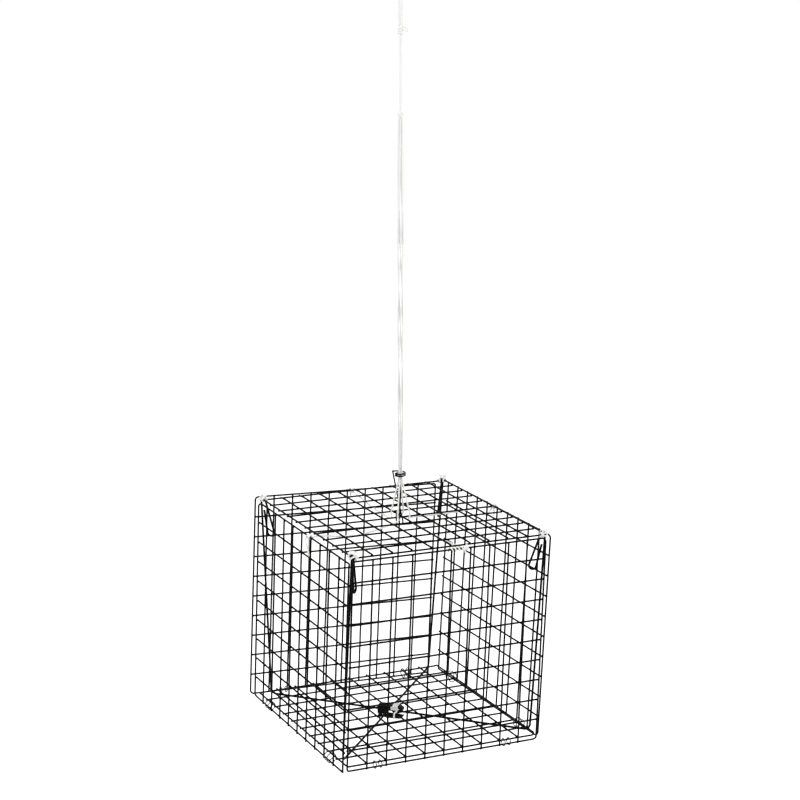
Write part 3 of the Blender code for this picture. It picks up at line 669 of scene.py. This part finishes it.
STRAND_TWIST = 0.8
STRAND_LOOSE = 0.65
STRAND_EASE = 0.3
STRAND_STEPS = 96
LINE_ACROSS = (TURNED @ RIGHT - LINE_LEAN * (TURNED @ RIGHT).dot(LINE_LEAN)).normalized()
LINE_BESIDE = LINE_LEAN.cross(LINE_ACROSS)
KNOT_TURNS = 3
KNOT_STEPS = 20
RIDING_STEPS = 14
LOOP_KNOT_TAIL = ((0.0034, 0.0012), (0.0056, -0.0016), (0.0064, -0.0056))


def strand_path(side, last):
    """One of the four strands, which lie lightly twisted round each other above the eye."""
    offset = bundle_offset(side)
    path = []
    for i in range(STRAND_STEPS + 1):
        share = i / STRAND_STEPS
        eased = share * share * (3 - 2 * share)
        turn = Matrix.Rotation(tau * STRAND_TWIST * eased, 3, LINE_LEAN)
        height = LINE_START + (last - LINE_START) * share
        spread = sin(pi * min(share / STRAND_EASE, (1 - share) / STRAND_EASE, 1) / 2)
        path.append(on_line(height) + turn @ offset * (1 + STRAND_LOOSE * spread))
    return path


def wound_knot(node, at, size, cord, finish, tail=()):
    """A stopper knot: turns wound round a core, one riding turn and a tail that leaves its top."""
    radius, length = size
    core = radius - cord * 0.72
    pitch = (length - cord) / KNOT_TURNS
    start = at - length / 2 + cord / 2
    wraps = []
    for i in range(KNOT_TURNS * KNOT_STEPS + 1):
        bulge = core * (0.90 + 0.14 * sin(pi * i / (KNOT_TURNS * KNOT_STEPS)))
        around = towards(LINE_ACROSS, LINE_BESIDE, tau * i / KNOT_STEPS)
        wraps.append(on_line(start + pitch * i / KNOT_STEPS) + around * bulge)
    top = wraps[-1]
    tuck_in = on_line(start - cord * 0.35) + (wraps[0] - on_line(start)).normalized() * core * 0.25
    if tail:
        end = [top + LINE_LEAN * cord * 0.4 + LINE_ACROSS * cord * 0.35]
        end += placed(top, (LINE_ACROSS, LINE_LEAN), tail, 1)
    else:
        end = [on_line(at + length / 2 + cord * 0.15) + (top - on_line(start + pitch * KNOT_TURNS)) * 0.25]
    shape = Shape()
    shape.tube(smooth_path([tuck_in] + wraps[2:] + end, 2), cord)
    riding = []
    for i in range(RIDING_STEPS + 1):
        share = i / RIDING_STEPS
        around = towards(LINE_ACROSS, LINE_BESIDE, radians(-70 + 175 * share))
        lift = core + cord * (0.15 + 0.42 * sin(pi * share))
        riding.append(on_line(start + pitch * KNOT_TURNS * (0.04 + 0.92 * share)) + around * lift)
    shape.tube(riding, cord, tip=0.4)
    shape.tube([on_line(at + way * (length / 2 - cord * 0.4)) for way in (-1, 0, 1)], core * 1.8)
    return shape.make(node, "wound", finish, "line")


def hauling_line():
    """The two knots, the four strands below them and the single line between them."""
    join_half = JOIN_KNOT_SIZE[1] / 2 + TOUCH_GAP
    loop_half = LOOP_KNOT_SIZE[1] / 2 + TOUCH_GAP
    join = wound_knot("join_knot", JOIN_KNOT_AT, JOIN_KNOT_SIZE, JOIN_KNOT_CORD, CORD_FINISH)
    loop = wound_knot("loop_knot", LOOP_KNOT_AT, LOOP_KNOT_SIZE, MAIN_CORD, MAIN_FINISH, LOOP_KNOT_TAIL)
    last = JOIN_KNOT_AT - join_half
    for side in DOORS:
        path = strand_path(side, last)
        piece = laid_cord("strand_" + side, path, CORD, CORD_FINISH, "line", sides=10)
        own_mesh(piece)
    low, high = on_line(JOIN_KNOT_AT + join_half), on_line(LOOP_KNOT_AT - loop_half)
    path = [low.lerp(high, i / 24) for i in range(25)]
    laid_cord("main_line", path, MAIN_CORD, MAIN_FINISH, "line")
    hand_loop(LOOP_KNOT_AT + loop_half)


def hand_loop(start):
    """Up beside the line's axis, wider round the loop's top and back down to the knot."""
    radius = LOOP_WIDTH / 2
    centre = on_line(HAND_LOOP_AT + MAIN_CORD / 2 - radius)
    narrow = LINE_ACROSS * (MAIN_CORD + CORD_GAP) / 2
    foot = on_line(start)
    lead = on_line(start + LOOP_TOGETHER)
    up = even([foot - narrow, lead - narrow * 1.1], 0.004)
    down = even([lead + narrow * 1.1, foot + narrow], 0.004)
    path = up + [up[-1].lerp(centre - LINE_ACROSS * radius, i / 12) for i in range(1, 12)]
    path += [centre + towards(-LINE_ACROSS, LINE_LEAN, pi * i / 24) * radius for i in range(25)]
    path += [(centre + LINE_ACROSS * radius).lerp(down[0], i / 12) for i in range(1, 12)] + down
    laid_cord("hand_loop", path, MAIN_CORD, MAIN_FINISH, "line")


# The ends that hang from two knots: down, outward and along the wire, in millimetres
MILLIMETRE = 0.001
KNOT_TAILS = {
    "left": (((1, 4.5, -4), (9, 5, -3.5), (18, 3.8, -0.5), (26, 3.2, 2)),
             ((2, 3, 0), (10, 3.2, 0.8), (19, 3, 0), (27, 2.6, 2.6))),
    "right": (((2, -2.5, 0), (5, -5, 0), (9, -7.5, -1), (13, -8.5, -2)),
              ((3, -2, 0), (7, -1.8, 1), (12, -2, 1.6), (15, -2.6, 2.6))),
}
# The short end of the other two, the same ways, in cords
SHORT_TAIL = ((-0.0006 / CORD, -1.1, 0), (0.9, -1.2, -0.4), (2.6, -0.4, -1.3), (3.3, 0.9, -1.7),
              (5.2, 1.6, -1.3))
KNOT_WOUND_BACK = 0.026
WOUND_STEPS = 60
LOOSE_END = CORD * 0.92
SEAM = 0.0002


def door_string(side):
    """The string's run under the top panel and its short end, which reaches to the door's knot."""
    path = run_path(side)
    laid_cord("string_run_" + side, path, CORD, CORD_FINISH, "cage")
    tie, out = knot_lead(side)
    edge = path[-1]
    ahead = (path[-1] - path[-2]).normalized()
    short = [edge - ahead * 2 * SEAM, edge + ahead * CORD / 2, tie - out * CORD, tie + out * 2 * SEAM]
    end = tube_piece("string_end_" + side, "braided", even(smooth_path(short, 6), 0.0004), CORD, CORD_FINISH,
                     None, tip=0.9)
    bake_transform(end)


def string_knot(side):
    """The knot on the door's top wire, with its hanging, wound or short end."""
    centre, axis, down, out = knot_start(side)
    tie, _ = knot_lead(side)
    coil = [centre + p for p in turns(axis, down, out, CORD_RING, 2.5, CORD + CORD_GAP / 2)]
    last = coil[-1]
    ways = (down, out, axis)
    shape = Shape()
    shape.tube([tie - out * SEAM] + coil, CORD)
    for rows in KNOT_TAILS.get(side, ()):
        shape.tube(smooth_path([coil[-3]] + placed(last, ways, rows, MILLIMETRE), 8), LOOSE_END)
    if side == "front":
        beside = centre + axis * ((last - centre).dot(axis) - CORD / 2)
        wound = [beside - axis * KNOT_WOUND_BACK * i / WOUND_STEPS
                 + towards(down, out, radians(30 * i)) * CORD_RING for i in range(WOUND_STEPS + 1)]
        shape.tube(smooth_path([coil[-3]] + wound, 1), LOOSE_END)
    if side not in KNOT_TAILS:
        shape.tube(smooth_path([coil[-3]] + placed(last, ways, SHORT_TAIL, CORD), 6), CORD)
    shape.make("string_knot_" + side, "tied", CORD_FINISH, "door_" + side)


# Degrees round the corner wire at which cord passes over the brace, and at which the small knot sits
LASHING_PASSES = {
    "front_right": (24, 47, 70, 93),
    "back_right": (30, 53, 76, 99, 122),
    "back_left": (24, 47, 70, 93, 116),
    "front_left": (72, 97),
}
LASHING_KNOT_AT = {"front_right": 62, "back_right": 88, "back_left": 72, "front_left": 118}
LASHING_TURNS = 1.25
LASHING_STEPS = 24
LASHING_TILT = 9
LASHING_PLAY = 0.0003


def corner_lashing(corner):
    """Cord turns on both sides of the brace, passes over its crown, and a small knot with two cut tails."""
    point, out = corner_frame(corner)
    along = UP.cross(out)
    heart = point - out * CORNER_RADIUS
    beside = BRACE_WIRE / 2 + TOUCH_GAP + CORD / 2 + LASHING_PLAY
    outside = MESH_WIRE / 2 + 2 * TOUCH_GAP + BRACE_WIRE + CORD / 2
    pitch = CORD + CORD_GAP / 2
    climb = 1 if corner in ("front_right", "back_left") else -1

    def place(angle, reach):
        turn = max(-pi / 4, min(pi / 4, reach / CORNER_RADIUS))
        away = towards(out, along, turn)
        wire = away * CORNER_RADIUS + towards(along, -out, turn) * (reach - turn * CORNER_RADIUS)
        return heart + wire + UP * LAYER * sin(2 * climb * turn) + towards(away, UP, angle) * CORD_RING

    def facing(degrees):
        return towards(out, UP, radians(degrees))

    def crossing(degrees, tilt):
        """One pass over the brace, square to the corner wire at that angle round it."""
        rows = ((-1, 0.62, -beside - LASHING_PLAY), (-0.6, 0.97, -beside * 0.65), (0, 1, 0),
                (0.6, 0.97, beside * 0.65), (1, 0.62, beside + LASHING_PLAY))
        return [point + facing(degrees + tilt * turned) * outside * reach + along * aside
                for turned, reach, aside in rows]

    def wound(way):
        steps = [i / LASHING_STEPS for i in range(round(LASHING_TURNS * LASHING_STEPS) + 1)]
        return [place(way * pi * (0.5 - 2 * step), way * (beside + pitch * step)) for step in steps]

    left, right = wound(-1), wound(1)
    over = smooth_path([left[0]] + crossing(0, 30) + [right[0]], 5)
    shape = Shape()
    shape.tube(left[::-1] + over[1:-1] + right, CORD)
    for number, degrees in enumerate(LASHING_PASSES[corner]):
        tilt = LASHING_TILT if number % 2 else -LASHING_TILT
        start = place(radians(degrees - tilt), -beside)
        end = place(radians(degrees + tilt), beside)
        shape.tube(smooth_path([start] + crossing(degrees, tilt) + [end], 5), CORD)
    at = LASHING_KNOT_AT[corner]
    knot = point + facing(at) * (outside + CORD * 0.55)
    for way in (1, -1):
        rows = ((-0.9, -0.5 * way, -0.6), (-0.2, 0, 0.25), (0.9, 0.45 * way, 0), (1.6, 0.2 * way, 0.1),
                (2.2, -0.7, -0.4))
        tail = placed(knot, (along * way, facing(at + 90), facing(at)), rows, CORD)
        shape.tube(smooth_path(tail, 5), LOOSE_END)
    shape.make("corner_lashing_" + corner, "tied", CORD_FINISH, "cage")


hauling_line()
for side_name in DOORS:
    door_string(side_name)
    string_knot(side_name)
for corner_name in FEET:
    corner_lashing(corner_name)


# Welded wire panels


# The coating's swelling along a wire, at so many metres from each weld
WELD_SWELL = ((-0.0018, 1.0), (-0.0009, 1.03), (0.0, 1.05), (0.0009, 1.03), (0.0018, 1.0))
WOBBLE = 0.00018
LONG_STRETCH = 0.012
COATED_WIRE = MESH_WIRE * 1.10
END_STEP = 0.0003
FLUSH_END = 0.0008
BACK_DIP = 0.0014
DIP_RUN = 0.016
EDGE_BEAD_INSET = 0.0004
CORNER_STEPS = 10
BEAD_SIDES = 8
# Reach and height of each ring of points of a bead, from its crown to its rim
BEAD_ROWS = ((0.0, 0.00095), (0.00100, 0.00075), (0.0014, 0.00035), (0.00152, 0.0))


def grid_wire(start, end, crossings, chance):
    """A wire with the coating swollen at each weld and a slight unevenness between welds."""
    ahead = (end - start).normalized()
    length = (end - start).length
    side = ahead.cross(UP).normalized()
    stops = [(0.0, 1.0), (length, 1.0)]
    for at in crossings:
        stops += [(at + step, swell) for step, swell in WELD_SWELL
                  if END_STEP < at + step < length - END_STEP]
    path, sizes = [], []
    before = None
    for at, swell in sorted(stops):
        if before is not None and at - before > LONG_STRETCH:
            middle = (at + before) / 2
            path.append(start + ahead * middle + side * chance.uniform(-WOBBLE, WOBBLE)
                        + UP * chance.uniform(-WOBBLE, WOBBLE) * 0.6)
            sizes.append(chance.uniform(0.985, 1.02))
        path.append(start + ahead * at)
        sizes.append(swell)
        before = at
    return path, sizes


def loop_path():
    """The panel's outer wire: it changes layer in each rounded corner."""
    inner = HALF - CORNER_RADIUS
    points = []
    for quarter, (x, y) in enumerate(((1, -1), (1, 1), (-1, 1), (-1, -1))):
        centre = Vector((x * inner, HALF + y * inner, 0))
        for i in range(CORNER_STEPS + 1):
            angle = radians(90 * (quarter - 1 + i / CORNER_STEPS))
            rise = (1 - cos(pi * i / CORNER_STEPS)) / 2
            if quarter % 2:
                rise = 1 - rise
            points.append(centre + towards(RIGHT, BACK, angle) * CORNER_RADIUS + UP * 2 * LAYER * rise)
    return points


def weld_bead(shape, place, centre):
    """The coating pooled in the corners of one crossing: a low lens between the two wires."""
    around = [tau * (k + 0.5) / BEAD_SIDES for k in range(BEAD_SIDES)]
    rows = list(BEAD_ROWS[1:]) + [(reach, -height) for reach, height in reversed(BEAD_ROWS[1:-1])]
    crown = UP * BEAD_ROWS[0][1]
    points = [centre + crown]
    points += [centre + Vector((reach * cos(a), reach * sin(a), height)) for reach, height in rows
               for a in around]
    points.append(centre - crown)
    faces = []
    for k in range(BEAD_SIDES):
        after = (k + 1) % BEAD_SIDES
        faces.append((0, 1 + k, 1 + after))
        for r in range(len(rows) - 1):
            here, there = 1 + r * BEAD_SIDES, 1 + (r + 1) * BEAD_SIDES
            faces.append((here + after, here + k, there + k, there + after))
        last = 1 + (len(rows) - 1) * BEAD_SIDES
        faces.append((len(points) - 1, last + after, last + k))
    shape.solid([place @ p for p in points], faces)


def panel(node, place, body, low, high, dip, seed):
    """Nine wires each way, welded to each other and cut flush with the outer wire or short of it."""
    chance = random.Random(seed)
    lines = [PITCH * i for i in range(1, SQUARES)]
    welds = [0.0] + lines + [SIDE]
    shape = Shape()
    turn = place.to_3x3()

    def wire(start, end, before, across, dip=0):
        path, sizes = grid_wire(start, end, [at - before for at in welds], chance)
        for point in path:
            point.z -= dip * max(0, 1 - (end.y - point.y) / DIP_RUN) ** 2
        shape.tube([place @ p for p in path], COATED_WIRE, 10, swell=sizes, reference=turn @ across)

    for x in lines:
        wire(Vector((x - HALF, low, 2 * LAYER)), Vector((x - HALF, SIDE + high, 2 * LAYER)), low, RIGHT, dip)
    for y in lines:
        wire(Vector((-HALF - FLUSH_END, y, 0)), Vector((HALF + FLUSH_END, y, 0)), -FLUSH_END, BACK)
    shape.tube([place @ p for p in loop_path()], COATED_WIRE, closed=True, reference=turn @ UP)
    for x in lines:
        for y in [EDGE_BEAD_INSET] + lines + [SIDE - EDGE_BEAD_INSET]:
            weld_bead(shape, place, Vector((x - HALF, y, LAYER)))
    for y in lines:
        for x in (EDGE_BEAD_INSET - HALF, HALF - EDGE_BEAD_INSET):
            weld_bead(shape, place, Vector((x, y, LAYER)))
    shape.make(node, "welded", MESH_FINISH, body, 80)


panel("floor_panel", Matrix.Translation((0, -HALF, -LAYER)), "cage", -FLUSH_END, FLUSH_END, 0, 11)
panel("top_panel", Matrix.Translation(TOP_CENTRE + Vector((0, -HALF, -LAYER))), "cage",
      -MESH_WIRE / 2 - NUB, 0, BACK_DIP, 12)
for number, side_name in enumerate(DOORS):
    panel("door_" + side_name, door_frame(side_name), "door_" + side_name,
          TOUCH_GAP - MESH_WIRE / 2, FLUSH_END, 0, 21 + number)


# Bent wires


def hog_rings(side):
    """Two pairs of closed rings that tie the door's bottom wire to the floor's edge wire."""
    place = door_frame(side)
    hinge = place.to_3x3() @ RIGHT
    out = OUTWARD[side]
    floor_axis = UP.cross(out)
    slid = place.translation.dot(floor_axis)
    level = -LAYER if side in ("front", "back") else LAYER
    outer = HALF - RING_SQUARE * PITCH
    number = 0
    for end in (-1, 1):
        free_from = outer + min(0, end * slid)
        free_to = outer - PITCH + max(0, end * slid)
        middle_reach = end * (free_from + (free_to - free_from) * RING_PLACE)
        for half_step in (-0.5, 0.5):
            number += 1
            reach = middle_reach + half_step * RING_PAIR_SPACING
            edge = out * HALF + floor_axis * reach + UP * level
            door = place.translation + hinge * (reach - slid) / hinge.dot(floor_axis)
            away = (door - edge).normalized()
            radius = (door - edge).length / 2 + MESH_WIRE / 2 + TOUCH_GAP + RING_WIRE / 2
            open_half = RING_END_GAP / 2 / radius
            angles = [open_half] + [radians(10 * i) for i in range(1, 36)] + [tau - open_half]
            path = [(edge + door) / 2 + towards(floor_axis.cross(away), -away, a) * radius for a in angles]
            node = f"hinge_ring_{side}_{number}"
            tube_piece(node, "bent", path, RING_WIRE, RING_FINISH, "cage", 10, 0.7, 80)


COATED_BRACE = BRACE_WIRE * 1.05
for name, wire_path, diameter in (
        ("brace_lower", brace_path("back_left", "front_right", False), COATED_BRACE),
        ("brace_upper", brace_path("front_left", "back_right", True), COATED_BRACE),
        ("line_guide", guide_path(), GUIDE_WIRE)):
    tube_piece(name, "bent", even(wire_path, 0.012), diameter, BRACE_FINISH, "cage", 14, 0.55, 80)
for side_name in DOORS:
    hog_rings(side_name)


# Bait clip


def clip_frame():
    """The clip's place: X along the lower brace towards the front, Y across, Z up, at the crossing."""
    ahead = (foot_point("front_right") - foot_point("back_left")).normalized()
    turn = Matrix((ahead, UP.cross(ahead), UP)).transposed().to_4x4()
    crossing = braces_cross()
    return Matrix.Translation((crossing.x, crossing.y, 0)) @ turn


def side_plate(name, outline, near, far):
    """A plate with the given side outline, from near to far across the clip."""
    shape = bmesh.new()
    face = shape.faces.new([shape.verts.new((x, near, z)) for x, z in outline])
    moved = bmesh.ops.extrude_face_region(shape, geom=[face])["geom"]
    corners = [v for v in moved if isinstance(v, bmesh.types.BMVert)]
    bmesh.ops.translate(shape, verts=corners, vec=(0, far - near, 0))
    bmesh.ops.recalc_face_normals(shape, faces=shape.faces)
    mesh = bpy.data.meshes.new(name)
    shape.to_mesh(mesh)
    shape.free()
    return mesh


def both_sides(name, outline, near, far):
    return [side_plate(name + "_left", outline, near, far), side_plate(name + "_right", outline, -far, -near)]


def about_pivot(radius, angles):
    """Points of a side outline at that distance from the pivot."""
    return [(PIVOT_X + radius * cos(a), PIVOT_Z + radius * sin(a)) for a in angles]


CLIP_PLACE = clip_frame()
CLIP_HALF = CLIP_WIDTH / 2
JAW_UNDER = -MESH_FACE - TOUCH_GAP
JAW_OVER = BRACE_OVER + BRACE_WIRE / 2 + TOUCH_GAP
JAW_REST = BRACE_LEVEL + BRACE_WIRE / 2 + TOUCH_GAP
JAW_GRIP = JAW_END - CLIP_TOOTH
CHEEK_IN = CLIP_HALF - CLIP_CHEEK
LUG_OUT = CHEEK_IN - TOUCH_GAP
LUG_IN = LUG_OUT - CLIP_LUG
PIVOT_X, PIVOT_Z = CLIP_PIVOT
LUG_BACK = PIVOT_X - LUG_RADIUS
LUG_FRONT = PIVOT_X + LUG_RADIUS
LUG_ROOM = 0.0008
NOTCH_BACK = LUG_BACK - LUG_ROOM
NOTCH_FRONT = LUG_FRONT + LUG_ROOM
HANDLE_DROP = 0.0054
EDGE_ROUND = 0.00028
CUT_PAST = 0.01
RIBS = 4
RIB_DEPTH = 0.0003
TEETH_STEP = 0.0006
TEETH_DEPTH = 0.0007
PIN_PAST = 0.0004
WHOLE_ROUND = [tau * i / 32 for i in range(32)]


def moulded(node, meshes, cuts, body):
    """One moulded lever from plates joined together, less the cuts, with rounded edges."""
    base = add_object(node + "_base", meshes[0])
    helpers = []
    for operation, group in (("UNION", meshes[1:]), ("DIFFERENCE", cuts)):
        for mesh in group:
            helpers.append(add_object(mesh.name, mesh))
            step = base.modifiers.new(mesh.name, "BOOLEAN")
            step.operation = operation
            step.solver = "EXACT"
            step.object = helpers[-1]
    edge = base.modifiers.new("edge", "BEVEL")
    edge.width = EDGE_ROUND
    edge.segments = 2
    edge.limit_method = "ANGLE"
    edge.angle_limit = radians(40)
    edge.harden_normals = False
    bpy.context.view_layer.update()
    made = bpy.data.meshes.new_from_object(base.evaluated_get(bpy.context.evaluated_depsgraph_get()))
    made.name = node + "_moulded"
    for used in [base] + helpers:
        bpy.data.objects.remove(used, do_unlink=True)
    made.materials.clear()
    made.transform(Matrix.Translation(-HOLD_POINT) @ CLIP_PLACE)
    dressed(made, node, PLASTIC_FINISH, body, 38)


def ribbed(first, last):
    """Small grip ribs along a straight stretch of a side outline, from first to last."""
    first, last = Vector((*first, 0)), Vector((*last, 0))
    ahead = last - first
    inward = Vector((ahead.y, -ahead.x, 0)).normalized() * RIB_DEPTH
    points = [first]
    for i in range(RIBS):
        for share, depth in ((0.15, 0), (0.38, 1), (0.62, 1), (0.85, 0)):
            points.append(first + ahead * ((i + share) / RIBS) + inward * depth)
    points.append(last)
    return [(p.x, p.y) for p in points]


def bore_cut(name):
    past = CLIP_HALF + CUT_PAST
    return side_plate(name, about_pivot(CLIP_PIN / 2 + TOUCH_GAP / 2, WHOLE_ROUND), -past, past)


def clip_base():
    """The lower lever, under the mesh: its plate, two lugs and two low walls."""
    plate = ribbed((HANDLE_END, JAW_UNDER - HANDLE_DROP), (NOTCH_BACK, JAW_UNDER - 0.0042))
    plate += [
        (NOTCH_FRONT, JAW_UNDER - 0.0038),
        (JAW_GRIP, JAW_UNDER - CLIP_PLATE),
        (JAW_END - 0.0006, JAW_UNDER - CLIP_PLATE * 0.8),
        (JAW_END, JAW_UNDER - CLIP_PLATE * 0.6),
        (JAW_END, JAW_UNDER),
    ]
    plate += [(JAW_GRIP + TEETH_STEP * i, JAW_UNDER - TEETH_DEPTH * (i % 2)) for i in (6, 5, 4, 3, 2)]
    plate += [
        (NOTCH_FRONT, JAW_UNDER),
        (LUG_FRONT, JAW_UNDER - 0.0018),
        (LUG_BACK, JAW_UNDER - 0.0018),
        (HANDLE_END, JAW_UNDER - HANDLE_DROP + CLIP_PLATE),
    ]
    notch = [(NOTCH_BACK, -0.02), (NOTCH_FRONT, -0.02), (NOTCH_FRONT, 0.02), (NOTCH_BACK, 0.02)]
    wall_end = HANDLE_END + 0.0010
    wall = [(wall_end, JAW_UNDER - HANDLE_DROP + CLIP_PLATE / 2), (PIVOT_X, JAW_UNDER - 0.0026),
            (PIVOT_X, PIVOT_Z + LUG_RADIUS * 0.8), (wall_end, PIVOT_Z + 0.0010 + WALL_LAP)]
    moulded("bait_clip_base",
            [side_plate("lower_plate", plate, -CLIP_HALF, CLIP_HALF)]
            + both_sides("lug", about_pivot(LUG_RADIUS, WHOLE_ROUND), LUG_IN, LUG_OUT)
            + both_sides("wall", wall, LUG_IN, LUG_OUT),
            both_sides("notch", notch, LUG_OUT, CLIP_HALF + CUT_PAST) + [bore_cut("lower_bore")], "cage")


def clip_jaw():
    """The upper lever, on the braces: its plate, two cheeks outside the lugs and two skirts."""
    plate = [
        (HANDLE_END, JAW_OVER - 0.0010),
        (LUG_BACK, JAW_OVER - 0.0004),
        (LUG_FRONT, JAW_OVER),
        (JAW_GRIP, JAW_OVER),
    ]
    plate += [(JAW_GRIP + TEETH_STEP * i, JAW_REST + TEETH_DEPTH * ((i + 1) % 2)) for i in range(1, 6)]
    plate += [
        (JAW_END, JAW_REST + 0.0002),
        (JAW_END, JAW_OVER - 0.0004),
        (JAW_GRIP, JAW_OVER + CLIP_PLATE),
    ]
    plate += ribbed((LUG_BACK, JAW_OVER + CLIP_PLATE), (HANDLE_END, JAW_OVER + CLIP_PLATE - 0.0012))
    cheek = about_pivot(LUG_RADIUS, [radians(180 + 7.5 * i) for i in range(25)])
    cheek += [(LUG_FRONT, JAW_OVER + 0.0012), (LUG_BACK, JAW_OVER + 0.0012)]
    skirt = [(HANDLE_END + 0.0004, JAW_OVER + 0.0002), (HANDLE_END + 0.0004, PIVOT_Z + 0.0010),
             (PIVOT_X - LUG_RADIUS / 2, PIVOT_Z - LUG_RADIUS * 0.7), (PIVOT_X, JAW_OVER + 0.0006)]
    moulded("bait_clip_jaw",
            [side_plate("upper_plate", plate, -CLIP_HALF, CLIP_HALF)]
            + both_sides("cheek", cheek, CHEEK_IN, CLIP_HALF)
            + both_sides("skirt", skirt, CHEEK_IN, CLIP_HALF),
            [bore_cut("upper_bore")], "clip_jaw")


def clip_pin():
    """The pin with a low head at each end."""
    def across(reaches):
        return [CLIP_PLACE @ Vector((PIVOT_X, y, PIVOT_Z)) for y in reaches]

    shape = Shape()
    shape.tube(across((-CLIP_HALF - PIN_PAST, 0, CLIP_HALF + PIN_PAST)), CLIP_PIN, 24, tip=0.75)
    for way in (-1, 1):
        head = across([way * (CLIP_HALF + past) for past in (0.00005, 0.0005)])
        shape.tube(head, CLIP_PIN * 1.35, 24, tip=0.7)
    shape.make("bait_clip_pin", "steel", STEEL_FINISH, "cage")


def clip_spring():
    """A coil round the pin, with one leg on each lever."""
    radius = CLIP_PIN / 2 + TOUCH_GAP + SPRING_WIRE / 2
    start = Vector((PIVOT_X, -SPRING_PITCH * SPRING_TURNS / 2 - 0.0002, PIVOT_Z))
    coil = [start + p for p in turns(BACK, -UP, RIGHT, radius, SPRING_TURNS + 0.5, SPRING_PITCH)]
    side = LUG_IN - TOUCH_GAP - SPRING_WIRE / 2
    low = Vector((PIVOT_X - 0.0065, -side, JAW_UNDER - 0.0005 + SPRING_WIRE / 2))
    high = Vector((PIVOT_X - 0.0062, side, JAW_OVER - 0.0009 - TOUCH_GAP - SPRING_WIRE / 2))
    knee = Vector((PIVOT_X - 0.0030, -side, PIVOT_Z - radius + 0.0001))
    elbow = Vector((PIVOT_X - 0.0028, side, PIVOT_Z + radius + 0.0012))
    path = smooth_path([low, knee, coil[0]], 5)[:-1] + coil + smooth_path([coil[-1], elbow, high], 5)[1:]
    piece = tube_piece("bait_clip_spring", "steel", [CLIP_PLACE @ p for p in path], SPRING_WIRE, STEEL_FINISH,
                       "cage", smooth_angle=80)
    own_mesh(piece)


def bait_tie():
    """Cord wound on the upper jaw to tie the bait, with its tail hanging through the mesh."""
    half = CLIP_HALF + TOUCH_GAP + CORD / 2
    low = JAW_OVER - TOUCH_GAP - CORD / 2
    high = JAW_OVER + CLIP_PLATE + TOUCH_GAP + CORD / 2
    pitch = CORD + CORD_GAP
    first = JAW_GRIP - TIE_CLEARANCE - CORD / 2 - pitch * TIE_TURNS
    ease = CORD / 2
    corners = [(-half, high - ease), (-half, low + ease), (ease - half, low), (half - ease, low),
               (half, low + ease), (half, high - ease), (half - ease, high), (ease - half, high)]
    wound = [Vector((first + pitch * i / 8, *corners[i % 8])) for i in range(TIE_TURNS * 8 + 2)]
    tail = [wound[-1] + Vector((x, -y, -z)) for x, y, z in TIE_TAIL]
    path = [CLIP_PLACE @ p for p in smooth_path(wound + tail, 4)]
    tube_piece("bait_tie", "wound", path, CORD, CORD_FINISH, "clip_jaw")


clip_base()
clip_jaw()
clip_pin()
clip_spring()
bait_tie()


# Floor and light
FLOOR_DEPTH = 0.62
FLOOR_SIZE = 14.0
FLOOR_COLOUR = (0.86, 0.86, 0.86)
FLOOR_GLOW = 0.62
WORLD_LEVEL = 0.72
LIGHTS_AIM = Vector((0, 0, -0.85))
LIGHTS = (("key_light", (-1.6, -1.4, 0.9), 1.4, 26), ("fill_light", (2.0, -1.2, 0.3), 1.6, 12),
          ("top_light", (0.2, 0.6, 1.6), 1.6, 16))


def seen_directly(look):
    """One for rays from the camera, a mirror or clear material, and nought for the rest."""
    paths = look.node("ShaderNodeLightPath", {}).outputs
    seen = look.math("MAXIMUM", paths["Is Camera Ray"], paths["Is Glossy Ray"])
    return look.math("MAXIMUM", seen, paths["Is Transmission Ray"])


def white_ground():
    """Pale ground that stays white to the camera and keeps a soft shadow."""
    look = new_look("studio_floor_look")
    shader = look.nodes["Principled BSDF"]
    look.feed(shader, {"Base Color": FLOOR_COLOUR, "Roughness": 0.9})
    strength = look.math("MULTIPLY", seen_directly(look), FLOOR_GLOW)
    light = look.node("ShaderNodeEmission", {"Color": (1, 1, 1), "Strength": strength})
    both = look.node("ShaderNodeAddShader", {0: shader.outputs[0], 1: light.outputs[0]})
    look.feed(look.nodes["Material Output"], {"Surface": both.outputs[0]})
    return look.owner


def studio():
    low = cad_bounds[0][2] - FLOOR_DEPTH
    half = FLOOR_SIZE / 2
    corners = [(x * half, y * half, low) for x, y in ((-1, -1), (1, -1), (1, 1), (-1, 1))]
    mesh = bpy.data.meshes.new("studio_floor")
    mesh.from_pydata(corners, [], [(0, 1, 2, 3)])
    mesh.materials.append(white_ground())
    add_object("studio_floor", mesh)

    sky = bpy.data.worlds.new("studio_world")
    look = Look(sky)
    level = look.ramp(seen_directly(look), 0.0, 1.0, WORLD_LEVEL, 1.0)
    look.feed(look.nodes["Background"], {"Color": (1, 1, 1), "Strength": level})
    bpy.context.scene.world = sky

    for name, place, size, watts in LIGHTS:
        data = bpy.data.lights.new(name, "AREA")
        data.size = size
        data.energy = watts
        lamp = add_object(name, data)
        lamp.location = place
        lamp.rotation_euler = (LIGHTS_AIM - Vector(place)).to_track_quat("-Z", "Y").to_euler()
    bpy.context.scene.view_settings.view_transform = "Standard"


studio()
